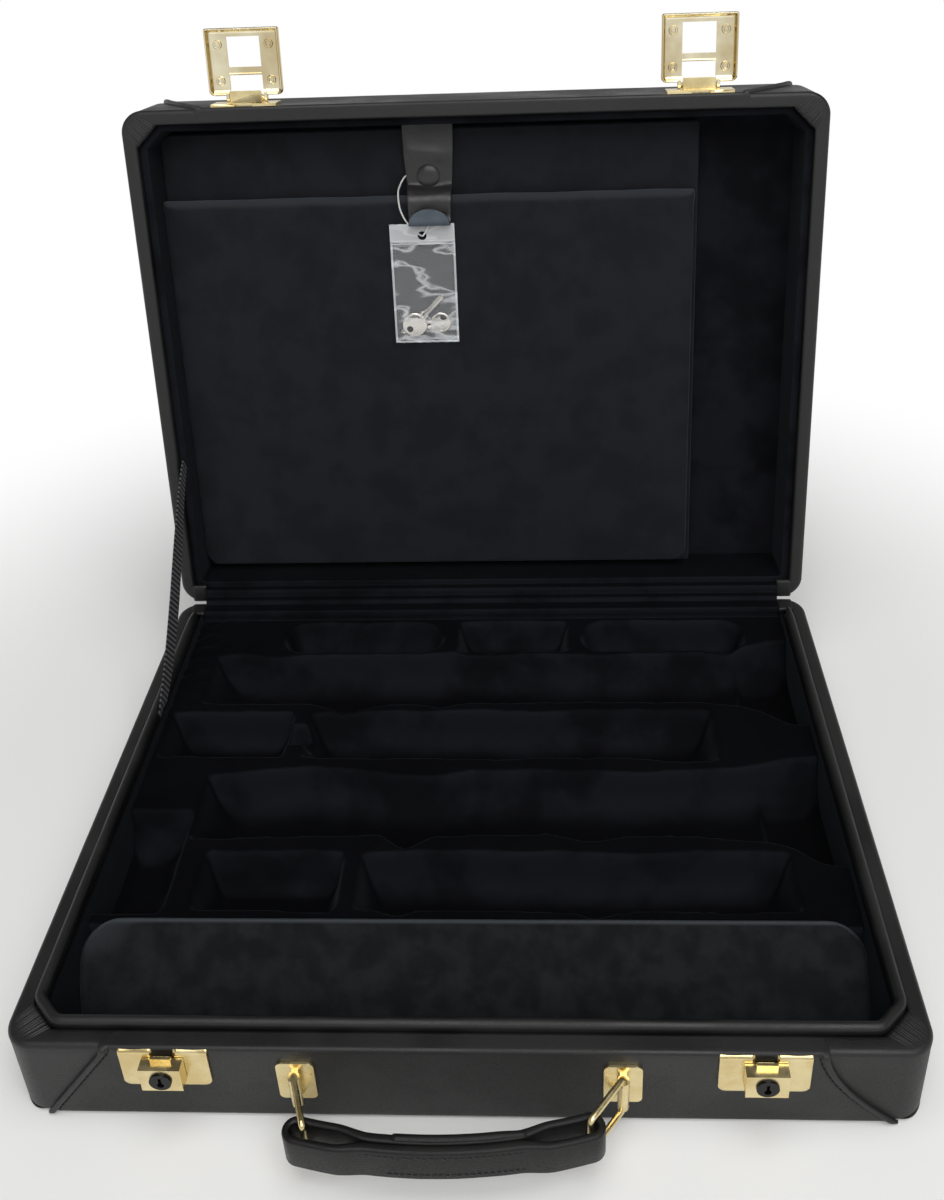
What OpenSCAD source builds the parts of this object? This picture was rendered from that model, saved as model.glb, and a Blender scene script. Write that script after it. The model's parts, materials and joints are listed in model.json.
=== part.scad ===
// Double clarinet case, shown open: base, lid, locks, handle and velvet interior.
// Millimetres. The origin is the middle of the base's underside, +Z is up, -Y is the front.
// Lid pieces are drawn in the lid's own frame: x across, y into the lid from its rim, z up from the hinge.

/* [Case] */
// Outer width of the case, left to right
case_w = 395; // [390:1:405]
// Outer depth of the case, front to back
case_d = 310; // [307:1:320]
// Height of the base, from the table to its rim
base_h = 45.5; // [44.5:0.5:50]
// Thickness of the lid, from its rim to its top
lid_h = 44; // [42:0.5:50]
// How far the open lid leans back past upright, in degrees
lid_lean = 8; // [2:1:15]
// Gap left between the two rims when the lid is shut
rim_gap = 0.3; // [0.2:0.1:0.6]
// Radius of the four upright corners
corner_r = 13; // [9:1:16]
// Radius of the edges round the top and the bottom
edge_r = 3; // [2:0.5:4]
// Thickness of the leather cover
leather_t = 1.2; // [0.8:0.1:1.6]
// Thickness of the wooden floor and top boards
board_t = 4.3; // [3:0.1:5]
// Width of the flat leather rim
rim_w = 8.3; // [7.5:0.1:9]
// Thickness of the extra leather panel on the front of base and lid
panel_t = 0.8; // [0.4:0.1:1.2]
// How much each end of the front panels slopes in from bottom to top
panel_slope = 32; // [24:1:36]

/* [Bead] */
// Width of the raised bead inside the base's rim
bead_w = 5; // [4:0.5:6]
// How far the bead stands above the rim
bead_rise = 4.5; // [3:0.5:5.5]
// Length of the cut across each front corner of the bead
bead_cut = 12.5; // [10:0.5:15]
// Gap between the bead and the lid's rim when shut
bead_gap = 0.4; // [0.3:0.1:0.8]

/* [Lining and insert] */
// Thickness of the velvet lining
velvet_t = 1; // [0.6:0.1:1.5]
// Height of the insert's top above the table
insert_h = 38; // [36:0.5:40]
// Thickness of the pad on the floor of the insert
pad_t = 6.5; // [5:0.5:9]
// Depth of the strip at the back that holds the three small recesses
strip_d = 35.7; // [34:0.1:37]
// Width of the rows that hold a lower joint with its bell
joint_row_w = 43; // [41:0.5:44]
// Width of the rows that hold an upper joint
upper_row_w = 33.5; // [31:0.5:35]
// Width of the rib in front of the first row
rib_1_w = 9; // [8:0.5:11]
// Width of the rib in front of the second row
rib_2_w = 13; // [12:0.5:15]
// Width of the rib in front of the third row
rib_3_w = 13; // [12:0.5:15]
// Width of the ledge in front of the fourth row
ledge_w = 9; // [7:0.5:11]
// Outer diameter of a clarinet bell's well
bell_dia = 72; // [68:1:74]
// Length of a bell's flare along its row
bell_l = 55; // [48:1:60]
// How far a bell sits in front of its row's middle line
bell_shift = 5; // [3:0.5:6]
// Depth of the three recesses in the back strip, front to back
recess_d = 27; // [24:0.5:29]
// Width of the left and right recesses in the back strip
oval_w = 98; // [90:1:100]
// Width of the middle recess in the back strip
square_w = 66; // [60:1:70]
// Width of the barrel recess at the left of the second row
barrel_w = 69; // [60:1:71]
// Length of the upper joint channel in the second row
channel_2_l = 227; // [215:1:232]
// Width of the square recess in the fourth row
reed_w = 69; // [60:1:71]
// Length of the upper joint channel in the fourth row
channel_4_l = 212; // [200:1:216]
// Width of the deep slot at the left of the third and fourth rows
slot_w = 33; // [28:1:34]
// Length of the deep slot, front to back
slot_l = 62; // [56:1:64]
// Thickness of the board behind the front compartment
front_board_t = 4; // [3:0.5:5]
// Height of the front board's top edge above the table
front_board_h = 42; // [40:0.5:43]
// How far the front board leans back from upright, in degrees
front_board_lean = 35; // [30:1:38]
// Radius of the front board's upper corners
front_board_r = 14; // [8:1:16]

/* [Lid interior] */
// Width of the velvet frame inside the lid's rim
frame_w = 4.5; // [4:0.5:6]
// Depth of the pocket's back board below the lid's rim
pocket_back = 29; // [27:0.5:31]
// Width of the pocket's back board
pocket_back_w = 314; // [300:1:320]
// Width of the pocket's front panel
pocket_w = 311; // [300:1:313]
// Height of the pocket's front panel
pocket_h = 238; // [225:1:242]
// Thickness of the pocket's front panel
pocket_t = 3; // [2:0.5:4]
// Room inside the pocket, front to back
pocket_room = 6; // [5:0.5:7]
// Height of the pocket's bottom edge above the hinge line
pocket_foot = 17; // [15:0.5:19]
// Corner radius of the pocket's front panel
pocket_r = 9; // [5:0.5:12]
// Width of the gusset round the pocket's sides and foot
gusset_w = 3; // [2:0.5:4]

/* [Strap and keys] */
// Width of the strap at its top
strap_w = 29; // [26:0.5:32]
// Width of the strap at its tip
strap_tip_w = 24; // [20:0.5:25]
// Thickness of the strap
strap_t = 1.8; // [1.4:0.1:2.2]
// Middle of the strap, measured from the middle of the case
strap_x = -27; // [-35:1:-20]
// Diameter of the press stud's cap
stud_dia = 13; // [11:0.5:14]
// Height of the press stud's cap
stud_cap_h = 1.6; // [1.2:0.1:2]
// Diameter of the press stud's socket
socket_dia = 9; // [7:0.5:10]
// Diameter of the elastic cord that holds the key bag
loop_dia = 1; // [0.8:0.1:1.2]
// Width of the key bag
bag_w = 38; // [34:1:40]
// Height of the key bag
bag_h = 72; // [66:1:76]
// Thickness of the key bag
bag_t = 3.4; // [3.2:0.1:3.8]
// Diameter of a key's round head
key_head_dia = 15; // [13:0.5:16]

/* [Hinge and stay] */
// Radius of the hinge's knuckles
knuckle_r = 1.9; // [1.7:0.1:2.1]
// Radius of the hinge's pin
hinge_pin_r = 0.9; // [0.7:0.1:1]
// Thickness of the hinge's leaves
leaf_t = 0.8; // [0.6:0.1:1]
// Distance from the end of the hinge to the side of the case
hinge_inset = 15.5; // [14:0.5:20]
// Number of knuckles along the hinge
knuckles = 13; // [9:2:17]
// Width of the stay ribbon
ribbon_w = 9; // [7:0.5:11]
// Thickness of the stay ribbon
ribbon_t = 0.9; // [0.6:0.1:1.2]

/* [Locks and hasps] */
// Distance of each lock from the middle of the case
lock_x = 126.5; // [115:0.5:132]
// Thickness of the lock, hasp and handle plates
plate_t = 1.2; // [1:0.1:1.4]
// Width of the sliding lock box
box_w = 17.8; // [16:0.2:18.4]
// Height of the sliding lock box
box_h = 13.2; // [12.6:0.1:13.6]
// How far the lock box stands out from its plate
box_out = 6.2; // [5.5:0.1:7]
// Travel of the lock box
box_travel = 2.2; // [1.8:0.1:2.4]
// Diameter of the black key cylinder
cylinder_dia = 9.5; // [8:0.1:10]
// How far the key cylinder stands out from the lock box
cylinder_out = 1; // [0.6:0.1:1.6]
// Outer width of a hasp
hasp_w = 41.6; // [40.6:0.2:42.6]
// Height of a hasp, from its hinge pin to its free edge
hasp_h = 38; // [37:0.5:39]
// Thickness of a hasp, from its rim to its face
hasp_t = 5.5; // [5.2:0.1:6]
// Wall of the cast hasp
hasp_wall = 1.3; // [1:0.1:1.5]
// Running clearance round the hasp and the lock box
fit = 0.3; // [0.2:0.05:0.4]
// Radius of a hasp's pin
hasp_pin_r = 1; // [0.8:0.1:1.1]

/* [Handle] */
// Distance between the two handle plates
eye_span = 138.6; // [134:0.2:142]
// Sideways place of the handle's middle
handle_shift = -1.5; // [-4:0.5:4]
// Width of a handle plate
handle_plate_w = 16.3; // [14:0.1:18]
// Height of a handle plate
handle_plate_h = 23; // [21:0.5:25]
// Height of the handle's middle line above the table
handle_z = 25; // [24:0.5:27]
// Width of the leather handle, up and down
handle_w = 17.8; // [16:0.1:18]
// Thickness of the leather at the handle's middle
handle_t = 8; // [7:0.5:9]
// Thickness of the leather round the handle's loops
loop_wall = 3.3; // [2.8:0.1:3.6]
// Half width of the hole in each loop
loop_hole_r = 2.6; // [2.4:0.1:3]
// Radius of the handle's bow
bow_r = 244; // [220:1:270]
// Distance from the handle's middle to the middle of each loop
loop_x = 51; // [49:0.5:52]
// Half the straight length of each loop's hole
loop_half = 9.5; // [8.5:0.5:10]
// Length of a ring from its pivot to its far bar
ring_l = 23.6; // [22.5:0.1:24.5]
// Thickness of a ring's bars
ring_t = 2.8; // [2.4:0.1:3]
// Radius of the ring's pivot bar
ring_pivot_r = 1.42; // [1.2:0.02:1.46]

/* [Hidden] */
$fn = 64;
eps = 0.01;
cut = 5;

// Colours as the object shows them
LEATHER = [0.07, 0.07, 0.075];
VELVET = [0.035, 0.04, 0.055];
FABRIC = [0.06, 0.065, 0.075];
WOOD = [0.62, 0.5, 0.35];
GOLD = [0.83, 0.66, 0.33];
NICKEL = [0.75, 0.73, 0.68];
PLASTIC = [0.04, 0.04, 0.04];
CLEAR = [0.85, 0.88, 0.9];
CORD = [0.85, 0.85, 0.83];

// Planes and lines that several pieces share
front_y = -case_d / 2 - panel_t;
hinge_y = case_d / 2;
hinge_z = base_h;
floor_z = leather_t + board_t;
in_x = case_w / 2 - rim_w;
in_y = case_d / 2 - rim_w;
clear_x = in_x - bead_w - velvet_t;
clear_front = -in_y + bead_w + velvet_t;
clear_back = in_y - velvet_t;
hinge_half = case_w / 2 - hinge_inset;
lining_drop = 2;
hinge_drop = leaf_t + velvet_t + 0.4;
// Where the stay ribbon is fixed: along the base, up the lid and into the lid
ribbon_y = 52;
ribbon_s = 96;
ribbon_in = 3;

// Rows of the insert, from the back to the front
row_1_back = clear_back + velvet_t - strip_d;
row_1_front = row_1_back - joint_row_w;
row_2_back = row_1_front - rib_1_w;
row_2_front = row_2_back - upper_row_w;
row_3_back = row_2_front - rib_2_w;
row_3_front = row_3_back - joint_row_w;
row_4_back = row_3_front - rib_3_w;
row_4_front = row_4_back - upper_row_w;
insert_front = row_4_front - ledge_w;
pad_top = floor_z + pad_t;
row_1_y = (row_1_back + row_1_front) / 2;
row_3_y = (row_3_back + row_3_front) / 2;
block_l = 18;
row_3_start = slot_w + 3.5;
wall_2 = 12;
wall_4 = 10;
slot_wall = 15;
notch_w = 12;
recess_gap = 11;
recess_edge = 4;
ledge_drop = 1;
dip_r = 16;
// Sides of a bell's well, as [along the row from its start, in from the bell's edge]
flare_front = [[0, 19.5], [22, 16], [35, 9], [44, 1]];
flare_back = [[44, 3], [32, 7.5], [0, 9.5]];
// Middle of the square recess in the back strip
square_x = 16;
// Dips that the keys need in the rows' front edges: [x, depth]
dips_1 = [[-78, 7], [-28, 4]];
dips_3 = [[-36, 10], [58, 5]];
dips_4 = [[-36, 3], [60, 3]];

// Lid, measured into it from its rim
lid_top = rim_gap + lid_h;
lid_floor = lid_top - leather_t - board_t;
frame_face = rim_gap + bead_rise + 0.7;
lid_open_x = in_x + bead_gap;
lid_open_foot = rim_w - bead_gap;
lid_open_head = case_d - rim_w + bead_gap;
lid_clear_x = lid_open_x - frame_w;
lid_clear_foot = lid_open_foot + frame_w;
lid_clear_head = lid_open_head - frame_w;
pocket_left = -lid_clear_x + 0.5;
board_drop = 5.5;
pocket_face = pocket_back - pocket_room - pocket_t;

// Locks and hasps
hasp_axis_d = 13.7;
hasp_axis_out = 3.5;
hasp_axis_s = case_d + panel_t + hasp_axis_out;
hasp_knuckle_r = hasp_pin_r + 0.9;
hasp_back = hasp_axis_out - fit;
hasp_face = hasp_back - hasp_t;
hasp_ear_w = 2;
tab_w = box_w + 0.2;
window_w = box_w + 2 * fit + 0.2;
bar_top = 12.4;
bar_bottom = 16.8;
hasp_closed_z = hinge_z + hasp_axis_d;
lock_w = hasp_w - 2 * hasp_wall - 2 * fit;
lock_top = base_h - 0.1;
lock_bottom = hasp_closed_z - hasp_h + hasp_wall + fit;
lock_h = lock_top - lock_bottom;
lock_mid = lock_top - lock_h / 2;
box_top = hasp_closed_z - bar_bottom - 0.8;
box_bottom = box_top - box_h;
window_end = hasp_closed_z - box_bottom + box_travel + 0.2;
lock_face = front_y - plate_t;
box_back = lock_face - 0.2;
box_face = lock_face - box_out;
box_mid = (box_top + box_bottom) / 2;
shank_w = 10;
shank_h = 7.6;
pocket_in = 5.5;
tongue_w = 8.8;

// Handle
eye_left = handle_shift - eye_span / 2;
eye_right = handle_shift + eye_span / 2;
barrel_r = 2.5;
eye_y = lock_face - barrel_r - 0.4;
ring_gap = 0.3;
ring_h = handle_w + 2 * ring_gap + 2 * ring_t;
barrel_h = ring_h - 2 * ring_t - 0.8;
ring_angle_left = 19;
ring_angle_right = 38;
handle_x = handle_shift - 4.7;
handle_y = eye_y - 18.2;
handle_turn = 1.5;
loop_y = bow_r - sqrt(bow_r * bow_r - loop_x * loop_x);
bow_drop = 9.6;
loop_tilt = asin(loop_x / bow_r);
sleeve_t = 0.6;

// Strap: its side view, as [depth, height] along its middle line
pocket_head = pocket_foot + pocket_h;
strap_top_s = lid_clear_head - 2;
stud_s = pocket_head + 13;
strap_root_d = pocket_back - strap_t / 2 - 1.2;
stud_d = pocket_back - strap_t / 2 - 2;
strap_path = [
  [strap_root_d, strap_top_s], [stud_d, stud_s + 8], [stud_d, stud_s - 7],
  [pocket_face - 2.6, pocket_head + 1], [pocket_face - 3.6, pocket_head - 10],
  [pocket_face - 6.4, pocket_head - 15]
];
bag_d = pocket_face - 0.6 - bag_t;
bag_top_s = pocket_head - 15.5;
bag_x = -32;
bag_header = 12.5;

// Elastic loop from behind the strap, through the bag's hole and back behind the strap: [x, depth, height]
loop_route = [
  [-33.5, 28, 266], [-37, 28, 266.5], [-40.4, 27.8, 266.2], [-42.8, 26.2, 263.8], [-44.4, 23, 260.6],
  [-45, 19.4, 258], [-44.8, 17.2, 253.5], [-43.6, 15.8, 248], [-41, 15, 242.5], [-38, 14.9, 238],
  [-34.8, 14.9, 234.6], [-32.9, 15.3, 232.8], [-31.8, 16.6, 232.3], [-30.5, 18.1, 233.4],
  [-28, 18.6, 236.4],
  [-24, 18.6, 241], [-20, 18.6, 245.4], [-16.4, 18.8, 249.6], [-13.2, 18.7, 253.8], [-12.6, 20.4, 258.2],
  [-12.8, 24.4, 261.4], [-13, 27.2, 263.8], [-15, 28.1, 265.8], [-17.6, 28.1, 266.6], [-20.6, 28, 266.4]
];

// Flat shapes

// What is left of a 45 degree corner cut when the outline moves in by t
function cut_in(c, t) = c - t * (2 - sqrt(2));

module rounded_rect(w, d, r) {
  square([w - 2 * r, d], center = true);
  square([w, d - 2 * r], center = true);
  for (x = [-1, 1], y = [-1, 1])
    translate([x * (w / 2 - r), y * (d / 2 - r)]) circle(r);
}

module cornered_rect(x, y0, y1, c0, c1) {
  polygon([
    [-x + c0, y0], [x - c0, y0], [x, y0 + c0], [x, y1 - c1],
    [x - c1, y1], [-x + c1, y1], [-x, y1 - c1], [-x, y0 + c0]
  ]);
}

module stadium(half, r) {
  square([2 * half, 2 * r], center = true);
  for (side = [-1, 1]) translate([side * half, 0]) circle(r);
}

// Solids that base and lid share

module case_block(w, d, h, r, e) {
  intersection() {
    linear_extrude(h) rounded_rect(w, d, r);
    translate([0, d / 2 + 1, h / 2]) rotate([90, 0, 0]) linear_extrude(d + 2) rounded_rect(w, h, e);
    translate([-w / 2 - 1, 0, h / 2]) rotate([90, 0, 90]) linear_extrude(w + 2) rounded_rect(d, h, e);
  }
}

module slab(d0, d1) {
  translate([0, d1, 0]) rotate([90, 0, 0]) linear_extrude(d1 - d0) children();
}

module box_between(low, high) {
  translate(low) cube([high[0] - low[0], high[1] - low[1], high[2] - low[2]]);
}

module lid_at_rest() {
  translate([0, hinge_y, hinge_z]) rotate([-lid_lean, 0, 0]) children();
}

module lid_block(inset, e) {
  translate([0, lid_top - inset, case_d / 2]) rotate([90, 0, 0])
    case_block(case_w - 2 * inset, case_d - 2 * inset, lid_h - 2 * inset, corner_r - inset, e);
}

// Base

module hinge_seat_base() {
  box_between([-hinge_half, in_y - velvet_t, base_h - hinge_drop],
              [hinge_half, hinge_y + cut, base_h + cut]);
}

module lock_pocket(x) {
  box_between([x - shank_w / 2 - 2.5, front_y - 1, box_mid - shank_h / 2 - 4.4],
              [x + shank_w / 2 + 2.5, front_y + pocket_in, box_mid + shank_h / 2 + 2]);
}

module lock_pockets() {
  for (side = [-1, 1]) lock_pocket(side * lock_x);
}

module base_carcass() {
  color(WOOD) difference() {
    translate([0, 0, leather_t])
      case_block(case_w - 2 * leather_t, case_d - 2 * leather_t, base_h - 2 * leather_t,
                 corner_r - leather_t, edge_r - leather_t);
    translate([0, 0, floor_z]) linear_extrude(base_h) cornered_rect(in_x, -in_y, in_y, bead_cut, 2);
    hinge_seat_base();
    lock_pockets();
  }
}

module base_leather() {
  color(LEATHER) difference() {
    case_block(case_w, case_d, base_h, corner_r, edge_r);
    box_between([-case_w, -case_d, -cut], [case_w, case_d, leather_t]);
    translate([0, 0, leather_t])
      case_block(case_w - 2 * leather_t, case_d - 2 * leather_t, base_h - 2 * leather_t,
                 corner_r - leather_t, edge_r - leather_t);
    translate([0, 0, base_h - 2 * leather_t]) linear_extrude(cut)
      cornered_rect(in_x, -in_y, in_y, bead_cut, 2);
    hinge_seat_base();
    lock_pockets();
  }
}

module base_bottom_leather() {
  color(LEATHER) intersection() {
    case_block(case_w, case_d, base_h, corner_r, edge_r);
    box_between([-case_w, -case_d, 0], [case_w, case_d, leather_t]);
  }
}

module front_panel_shape(h) {
  top_half = case_w / 2 - corner_r - panel_slope;
  foot_half = case_w / 2 - corner_r;
  polygon([[-foot_half, edge_r], [foot_half, edge_r], [top_half, h - edge_r], [-top_half, h - edge_r]]);
}

module base_front_panel() {
  color(LEATHER) difference() {
    translate([0, -case_d / 2, 0]) rotate([90, 0, 0]) linear_extrude(panel_t) front_panel_shape(base_h);
    lock_pockets();
  }
}

module bead_post(p) {
  r = bead_w / 2;
  translate([p[0], p[1], floor_z]) cylinder(h = base_h + bead_rise - r - floor_z, r = r, $fn = 16);
  translate([p[0], p[1], base_h + bead_rise - r]) sphere(r, $fn = 16);
}

module base_bead() {
  x = in_x - bead_w / 2;
  y = -in_y + bead_w / 2;
  c = cut_in(bead_cut, bead_w / 2);
  back = in_y - rim_w / 2;
  posts = [[-x, back], [-x, y + c], [-x + c, y], [x - c, y], [x, y + c], [x, back]];
  color(LEATHER) for (i = [0:4]) hull() {
    bead_post(posts[i]);
    bead_post(posts[i + 1]);
  }
}

module base_lining() {
  color(VELVET) translate([0, 0, floor_z]) difference() {
    linear_extrude(base_h - floor_z - lining_drop)
      cornered_rect(clear_x + velvet_t, clear_front - velvet_t, in_y, cut_in(bead_cut, bead_w), eps);
    translate([0, 0, velvet_t]) linear_extrude(base_h)
      cornered_rect(clear_x, clear_front, clear_back, cut_in(bead_cut, bead_w + velvet_t), eps);
  }
}

// Insert

module bell_flare(y) {
  r = bell_dia / 2;
  start = clear_x - bell_l;
  polygon([
    for (p = flare_front) [start + p[0], y - r + p[1]],
    [clear_x + 1, y - r], [clear_x + 1, y + r],
    for (p = flare_back) [start + p[0], y + r - p[1]]
  ]);
}

module front_dips(dips, edge) {
  for (dip = dips) translate([dip[0], edge - dip[1] + dip_r]) circle(dip_r);
}

module joint_row(front, back, start) {
  translate([start, front]) square([clear_x + 1 - start, back - front]);
  bell_flare((front + back) / 2 - bell_shift);
}

module back_recesses() {
  y = row_1_back + recess_edge + recess_d / 2;
  r = recess_d / 2;
  side_x = square_w / 2 + recess_gap + oval_w / 2;
  translate([square_x, y]) square([square_w, recess_d], center = true);
  for (side = [-1, 1]) translate([square_x + side * side_x, y]) stadium(oval_w / 2 - r, r);
}

module row_2_shapes() {
  w = row_2_back - row_2_front;
  end = -clear_x + recess_edge + barrel_w;
  translate([end - barrel_w, row_2_front]) square([barrel_w, w]);
  translate([end + wall_2, row_2_front]) square([channel_2_l, w]);
  translate([end - 1, row_2_front + w / 2 - notch_w / 2]) square([wall_2 + 2, notch_w]);
}

module row_4_shapes() {
  start = -clear_x + slot_w + slot_wall;
  translate([-clear_x - 1, row_4_front - 1]) square([slot_w + 1, slot_l]);
  translate([start, row_4_front]) square([reed_w, row_4_back - row_4_front]);
  translate([start + reed_w + wall_4, row_4_front]) square([channel_4_l, row_4_back - row_4_front]);
}

module all_rows() {
  back_recesses();
  joint_row(row_1_front, row_1_back, -clear_x + block_l);
  front_dips(dips_1, row_1_front);
  row_2_shapes();
  joint_row(row_3_front, row_3_back, -clear_x + row_3_start);
  front_dips(dips_3, row_3_front);
  row_4_shapes();
  front_dips(dips_4, row_4_front);
}

module insert_strip(y0, y1, top) {
  color(VELVET) translate([0, 0, pad_top]) linear_extrude(top - pad_top) difference() {
    translate([-clear_x, y0]) square([2 * clear_x, y1 - y0]);
    all_rows();
  }
}

module insert_pad() {
  color(VELVET) translate([0, 0, floor_z + velvet_t]) linear_extrude(pad_t - velvet_t) difference() {
    translate([-clear_x, insert_front]) square([2 * clear_x, clear_back - insert_front]);
    for (y = [row_1_y - bell_shift, row_3_y - bell_shift])
      translate([clear_x - bell_l * 0.4, y - bell_dia / 2]) square([bell_l, bell_dia]);
  }
}

module insert_back_strip() {
  insert_strip(row_1_back, clear_back, insert_h);
}

module insert_rib_1() {
  insert_strip(row_2_back, row_1_front, insert_h);
}

module insert_rib_2() {
  insert_strip(row_3_back, row_2_front, insert_h);
}

module insert_rib_3() {
  insert_strip(row_4_back, row_3_front, insert_h);
}

module insert_ledge() {
  insert_strip(insert_front, row_4_front, insert_h - ledge_drop);
}

module insert_blocks() {
  insert_strip(row_1_front, row_1_back, insert_h);
  insert_strip(row_2_front, row_2_back, insert_h);
  insert_strip(row_3_front, row_3_back, insert_h);
  insert_strip(row_4_front, row_4_back, insert_h);
}

module front_board() {
  r = front_board_r;
  foot = floor_z + velvet_t;
  l = (front_board_h - foot - front_board_t * sin(front_board_lean)) / cos(front_board_lean);
  back_y = insert_front - 0.4 - (insert_h - ledge_drop - foot) * tan(front_board_lean);
  half = clear_x - 0.3;
  color(VELVET) translate([0, back_y, foot]) rotate([-front_board_lean, 0, 0])
    rotate([90, 0, 0]) linear_extrude(front_board_t) {
      translate([-half, 0]) square([2 * half, l - r]);
      translate([-half + r, 0]) square([2 * (half - r), l]);
      for (side = [-1, 1]) translate([side * (half - r), l - r]) circle(r);
    }
}

// Hinge and stay

knuckle_pitch = 2 * (hinge_half - 1) / knuckles;

module knuckle_run(first, leaf_low, leaf_high) {
  difference() {
    union() {
      for (i = [first:2:knuckles - 1])
        translate([-hinge_half + 1 + i * knuckle_pitch + 0.1, 0, 0]) rotate([0, 90, 0])
          cylinder(h = knuckle_pitch - 0.2, r = knuckle_r);
      children();
    }
    translate([-hinge_half, 0, 0]) rotate([0, 90, 0]) cylinder(h = 2 * hinge_half, r = hinge_pin_r + 0.05);
    for (i = [1 - first:2:knuckles - 1])
      translate([-hinge_half + 1 + i * knuckle_pitch - 0.1, -knuckle_r - 0.3, -knuckle_r - 0.3])
        cube([knuckle_pitch + 0.2, 2 * knuckle_r + 0.6, 2 * knuckle_r + 0.6]);
  }
}

module hinge_leaf_base() {
  low = -hinge_drop;
  color(GOLD) translate([0, hinge_y, hinge_z]) knuckle_run(0)
    box_between([-hinge_half + 1, -rim_w + 0.6, low], [hinge_half - 1, 0, low + leaf_t]);
}

module hinge_leaf_lid() {
  high = hinge_drop;
  color(GOLD) lid_at_rest() knuckle_run(1)
    box_between([-hinge_half + 1, high - leaf_t, 0], [hinge_half - 1, high, rim_w - 0.6]);
}

module hinge_pin() {
  color(NICKEL) translate([-hinge_half + 0.6, hinge_y, hinge_z]) rotate([0, 90, 0])
    cylinder(h = 2 * (hinge_half - 0.6), r = hinge_pin_r);
}

module hinge_cover_base() {
  top = base_h - 0.3;
  color(VELVET)
    box_between([-hinge_half + 0.5, in_y - velvet_t, top - velvet_t],
                [hinge_half - 0.5, hinge_y - knuckle_r - fit, top]);
}

module hinge_cover_lid() {
  color(VELVET) lid_at_rest()
    box_between([-hinge_half + 0.5, rim_gap, knuckle_r + fit],
                [hinge_half - 0.5, rim_gap + velvet_t, lid_open_foot]);
}

module stay_ribbon() {
  foot = [-clear_x + 0.2, ribbon_y, base_h - 1];
  d = frame_face + ribbon_in;
  head = [
    -lid_clear_x + 0.2,
    hinge_y + ribbon_s * sin(lid_lean) + d * cos(lid_lean),
    hinge_z + ribbon_s * cos(lid_lean) - d * sin(lid_lean)
  ];
  run = head - foot;
  flat = norm([run[0], run[1]]);
  color(FABRIC) translate(foot) rotate([0, 0, atan2(-run[0], run[1])]) rotate([atan2(run[2], flat), 0, 0])
    translate([0, 0, -ribbon_w / 2]) cube([ribbon_t, norm(run), ribbon_w]);
}

// Locks

module lock_plate(x) {
  r = 3.5;
  color(GOLD) translate([x, lock_face, 0]) rotate([-90, 0, 0]) mirror([0, 1, 0])
    linear_extrude(plate_t) difference() {
      union() {
        translate([0, lock_mid]) rounded_rect(lock_w, lock_h, r);
        translate([-lock_w / 2, lock_mid]) square([lock_w, lock_h / 2]);
      }
      translate([-tongue_w / 2 - 0.4, lock_top - 4]) square([tongue_w + 0.8, cut + 4]);
      translate([-shank_w / 2 - 0.2, box_mid - shank_h / 2 - box_travel - 0.2])
        square([shank_w + 0.4, shank_h + box_travel + 0.4]);
    }
}

module lock_box(x) {
  bore_r = cylinder_dia / 2 + 0.08;
  head_y = front_y + 0.4;
  color(GOLD) translate([x, 0, 0]) difference() {
    union() {
      box_between([-box_w / 2, box_face, box_bottom], [box_w / 2, box_back, box_top]);
      box_between([-shank_w / 2, box_back - eps, box_mid - shank_h / 2],
                  [shank_w / 2, head_y + 1.2, box_mid + shank_h / 2]);
      box_between([-shank_w / 2 - 2, head_y, box_mid - shank_h / 2],
                  [shank_w / 2 + 2, head_y + 1.2, box_mid + shank_h / 2]);
      box_between([-tongue_w / 2, box_back - 2.4, box_top - eps],
                  [tongue_w / 2, box_back - 1.1, box_top + 2.4]);
    }
    translate([0, box_face - 1, box_mid]) rotate([-90, 0, 0]) cylinder(h = box_out - 0.2, r = bore_r);
  }
}

module lock_cylinder(x) {
  l = box_out - 1.3 + cylinder_out;
  color(PLASTIC) translate([x, box_face - cylinder_out, box_mid]) rotate([-90, 0, 0]) difference() {
    cylinder(h = l, r = cylinder_dia / 2);
    translate([0, 0, -1]) linear_extrude(3.5) square([1.3, 5.4], center = true);
    translate([0, 1.6, -1]) cylinder(h = 3.5, r = 1.5);
  }
}

// Hasps, drawn in the lid's frame. u runs along the hasp from its pin, v towards its rim.

module hasp_frame(x) {
  translate([x, hasp_axis_d, hasp_axis_s]) children();
}

module hasp_shape() {
  half = hasp_w / 2;
  inner = half - hasp_wall;
  v_face = hasp_face;
  difference() {
    box_between([-half, -hasp_back, 1.5], [half, -v_face, hasp_h]);
    box_between([-inner, -hasp_back - 1, 1.5 + hasp_wall],
                [inner, -v_face - hasp_wall, hasp_h - hasp_wall]);
    box_between([-inner, -hasp_back - 1, 1], [inner, -1.7, 1.5 + hasp_wall + eps]);
    box_between([-window_w / 2 - 0.4, -hasp_back - 1, 1], [window_w / 2 + 0.4, -v_face + 1, 3.3]);
    box_between([-window_w / 2, -hasp_back - 1, 3.2], [window_w / 2, -v_face + 1, bar_top]);
    box_between([-window_w / 2, -hasp_back - 1, bar_bottom], [window_w / 2, -v_face + 1, window_end]);
  }
}

module hasp_ears() {
  inner = window_w / 2 + 0.4;
  for (side = [-1, 1]) translate([side > 0 ? inner : -inner - hasp_ear_w, 0, 0]) {
    rotate([0, 90, 0]) cylinder(h = hasp_ear_w, r = hasp_knuckle_r);
    translate([0, -1.7, 0]) cube([hasp_ear_w, 3.6, 2]);
  }
}

module hasp_bosses() {
  r = 2.3;
  for (side = [-1, 1], u = [9.5, 29]) translate([side * 14.6, -hasp_face - hasp_wall + eps, u])
    rotate([90, 0, 0]) cylinder(h = 1, r = r);
}

module hasp_hook() {
  face = -hasp_face - hasp_wall;
  translate([-4, -2, bar_top + 1.2]) cube([8, face + 2 + eps, 1]);
  translate([-4, -2, bar_top + 2.2 - eps]) cube([8, 0.7, 1.4]);
}

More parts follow.
